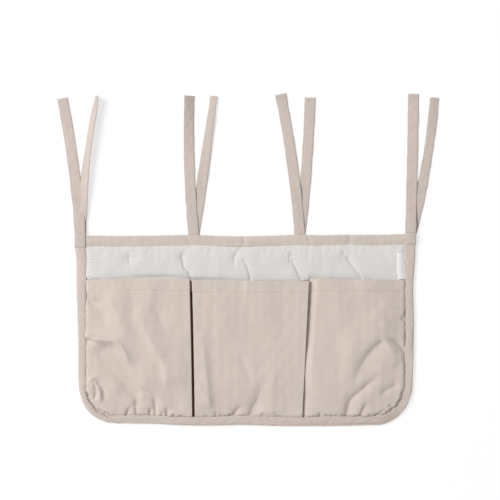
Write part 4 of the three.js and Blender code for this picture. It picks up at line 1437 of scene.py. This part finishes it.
def straight_row(start, end, count=60):
    return [tuple(lerp(np.array(start), np.array(end), share)) for share in np.linspace(0, 1, count)]


def tape_row(inset):
    points, inward, _ = edge_path(HALF_HEIGHT - 3, 3.0)
    x, y = points.T
    depth = tape_step(x, y) + inset * tape_width(x, y) / SIDE_TAPE_WIDTH
    return points + inward * depth[:, None]


def top_tape_row(inset):
    x = np.linspace(-1, 1, 240) * (side_x(HALF_HEIGHT) - SIDE_TAPE_WIDTH - 1)
    return np.stack([x, HALF_HEIGHT - inset + top_rise(x)], axis=1)


def panel_sewing():
    """Rows along both tapes, seen on the front and the back, round the root patches and across the tabs."""
    along_side = tape_row(SIDE_TAPE_WIDTH - SIDE_ROW_INSET)
    along_top = top_tape_row(TOP_TAPE_SHOWN - TOP_ROW_INSET)
    rows = [drop_on(along_side, [side_tape]), drop_on(along_side, [side_tape], from_below=True),
            drop_on(along_top, [top_tape]), drop_on(along_top, [top_tape], from_below=True)]
    for name, (x, low, high) in ROOT_PATCHES.items():
        bottom, top = low + 1.6, high - 6
        left, right = x - PATCH_ROW_ASIDE, x + PATCH_ROW_ASIDE
        for y in (bottom, top):
            rows.append(drop_on(straight_row((left, y), (right, y)), [patches[name]]))
        for edge in (left, right):
            rows.append(drop_on(straight_row((edge, bottom), (edge, top)), [patches[name]]))
    for tab in tabs.values():
        low, high = tab_reach(tab)
        for inset in TAB_ROWS:
            row = straight_row((low + 2, HALF_HEIGHT - inset), (high - 2, HALF_HEIGHT - inset))
            rows.append(drop_on(row, [tab], from_below=True))
    return sew("panel_sewing", rows, BEIGE_THREAD)


def tab_reach(tab):
    across = [vertex.co.x / MM for vertex in tab.data.vertices]
    return min(across), max(across)


def tack_sewing():
    """A short cream bar at every tack of the quilting, front and back."""
    rows = []
    for x, y in tack_points():
        for offset in TACK_THREADS:
            bar = straight_row((x - TACK_HALF_LENGTH, y + offset), (x + TACK_HALF_LENGTH, y + offset), 12)
            rows.append(drop_on(bar, [pad]))
            rows.append(drop_on(bar, [back], from_below=True))
    return sew("tack_sewing", rows, CREAM_THREAD, pitch=2.2, length=3.2, radius=0.3)


def hem_sewing(name, pocket, mouth, wave, reach):
    x = np.linspace(*reach, 160)
    row = np.stack([x, mouth - HEM_TURN - HEM + HEM_ROW_INSET + 0.8 * wave(x)], axis=1)
    return sew(name, [drop_on(row, [pocket])], BEIGE_THREAD)


patches = {name: root_patch(name + "_root_patch", *place) for name, place in ROOT_PATCHES.items()}
straps, strap_sewing, tabs = {}, {}, {}
for name, pair in TIES.items():
    tabs[name] = tab_strap(name + "_tab_strap", pair["x"], folded=pair["base"] == 0)
    for part in ("back", "front"):
        strap = tie_strap(f"{name}_{part}_strap", pair, part)
        straps[name, part] = strap
        strap_sewing[name, part] = sew(f"{name}_{part}_sewing", tie_rows(pair, part, strap), BEIGE_THREAD)

seams = panel_sewing()
tacks = tack_sewing()
left_hem = hem_sewing("pocket_left_sewing", left_pocket, LEFT_MOUTH, left_mouth_wave,
                      (-half_width(LEFT_MOUTH, SEAM_INSET + 1), LEFT_PLEAT[0] - 4))
middle_hem = hem_sewing("pocket_middle_sewing", middle_pocket, MIDDLE_MOUTH, middle_mouth_wave,
                        (LEFT_PLEAT[0] + 4, RIGHT_PLEAT[0] - 2))
right_hem = hem_sewing("pocket_right_sewing", right_pocket, RIGHT_MOUTH, right_mouth_wave,
                       (RIGHT_PLEAT[0] + 1, half_width(RIGHT_MOUTH, SEAM_INSET + 1)))


# What each piece stands for, and what some of them move with
def at(x=0.0, y=0.0, z=0.0):
    return x * MM, y * MM, z * MM


for piece in (pad, back, side_tape, top_tape, seams, tacks, *tabs.values()):
    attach(piece, "panel")
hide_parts("front_fabric", "batting")
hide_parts("back_fabric")
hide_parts("binding_side")
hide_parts("binding_top")

outer_pockets = (left_pocket, left_hem, -1, "left_pocket"), (right_pocket, right_hem, 1, "right_pocket")
for piece, sewing, side, body in outer_pockets:
    for one in (piece, sewing):
        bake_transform(one)
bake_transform(middle_pocket)
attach(middle_hem, "middle_pocket")
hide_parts("pocket_left")
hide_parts("pocket_middle")
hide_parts("pocket_right")

for name, pleat in pleats.items():
    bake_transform(pleat)
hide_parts("pleat_left")
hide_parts("pleat_right")

for (name, part), strap in straps.items():
    for one in (strap, strap_sewing[name, part]):
        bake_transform(one)
    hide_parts(f"{name}_{part}")
for patch in patches.values():
    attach(patch, "panel")
for name, tab in tabs.items():
    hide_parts(name + "_tab")

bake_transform(label)
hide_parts("label")


# Floor, light and camera
def seen_directly(tree):
    """One for rays from the camera, and for those that gloss or glass send on."""
    rays = add_node(tree, "ShaderNodeLightPath").outputs
    total = calculate(tree, "ADD", rays["Is Camera Ray"], rays["Is Glossy Ray"])
    return calculate(tree, "MINIMUM", calculate(tree, "ADD", total, rays["Is Transmission Ray"]), 1.0)


def choose_for_camera(tree, unseen, seen, output):
    """Ends a tree with one shader for what is seen directly and another for all other light."""
    choose = add_node(tree, "ShaderNodeMixShader", [seen_directly(tree), unseen.outputs[0], seen.outputs[0]])
    add_node(tree, output, {"Surface": choose.outputs[0]})


def grey(shade):
    return (shade, shade, shade, 1.0)


def studio_floor():
    """Pale floor that looks white where it is open and keeps a faint shadow."""
    material = bpy.data.materials.new("studio_floor")
    tree = empty_tree(material)
    bounced, seen = (add_node(tree, "ShaderNodeBsdfDiffuse", {"Color": grey(shade)})
                     for shade in (FLOOR_SHADE, FLOOR_SEEN_SHADE))
    glow = add_node(tree, "ShaderNodeEmission", {"Strength": FLOOR_GLOW})
    both = add_node(tree, "ShaderNodeAddShader", [seen.outputs[0], glow.outputs[0]])
    choose_for_camera(tree, bounced, both, "ShaderNodeOutputMaterial")
    signs = [(-1, -1), (1, -1), (1, 1), (-1, 1)]
    corners = [(x * FLOOR_REACH, y * FLOOR_REACH, FLOOR_Z) for x, y in signs]
    floor = link_mesh("studio_floor", corners, [(0, 1, 2, 3)], [corner[:2] for corner in corners], material)


def studio_light():
    """Even light from all round, and one broad lamp above and to the left."""
    world = bpy.data.worlds.new("studio")
    bpy.context.scene.world = world
    tree = empty_tree(world)
    around, backdrop = (add_node(tree, "ShaderNodeBackground", {"Color": grey(1.0), "Strength": strength})
                        for strength in (AMBIENT, 1.0))
    choose_for_camera(tree, around, backdrop, "ShaderNodeOutputWorld")
    lamp = bpy.data.lights.new("soft_box", "AREA")
    lamp.energy = LAMP_POWER
    lamp.size = LAMP_SIZE * MM
    holder = bpy.data.objects.new("soft_box", lamp)
    holder.location = Vector(LAMP_PLACE) * MM
    aim = Vector(at(*VIEW_CENTRE)) - holder.location
    holder.rotation_euler = aim.to_track_quat("-Z", "Y").to_euler()
    bpy.context.scene.collection.objects.link(holder)


def photo_camera():
    """Camera straight above the organizer, with the ties at the top of the picture."""
    data = bpy.data.cameras.new("photo_camera")
    data.sensor_width = SENSOR
    data.lens = SENSOR * VIEW_HEIGHT / VIEW_WIDTH
    camera = bpy.data.objects.new("photo_camera", data)
    camera.location = at(*VIEW_CENTRE, VIEW_HEIGHT)
    bpy.context.scene.collection.objects.link(camera)
    bpy.context.scene.camera = camera


studio_floor()
studio_light()
photo_camera()
bpy.context.scene.view_settings.view_transform = "Standard"
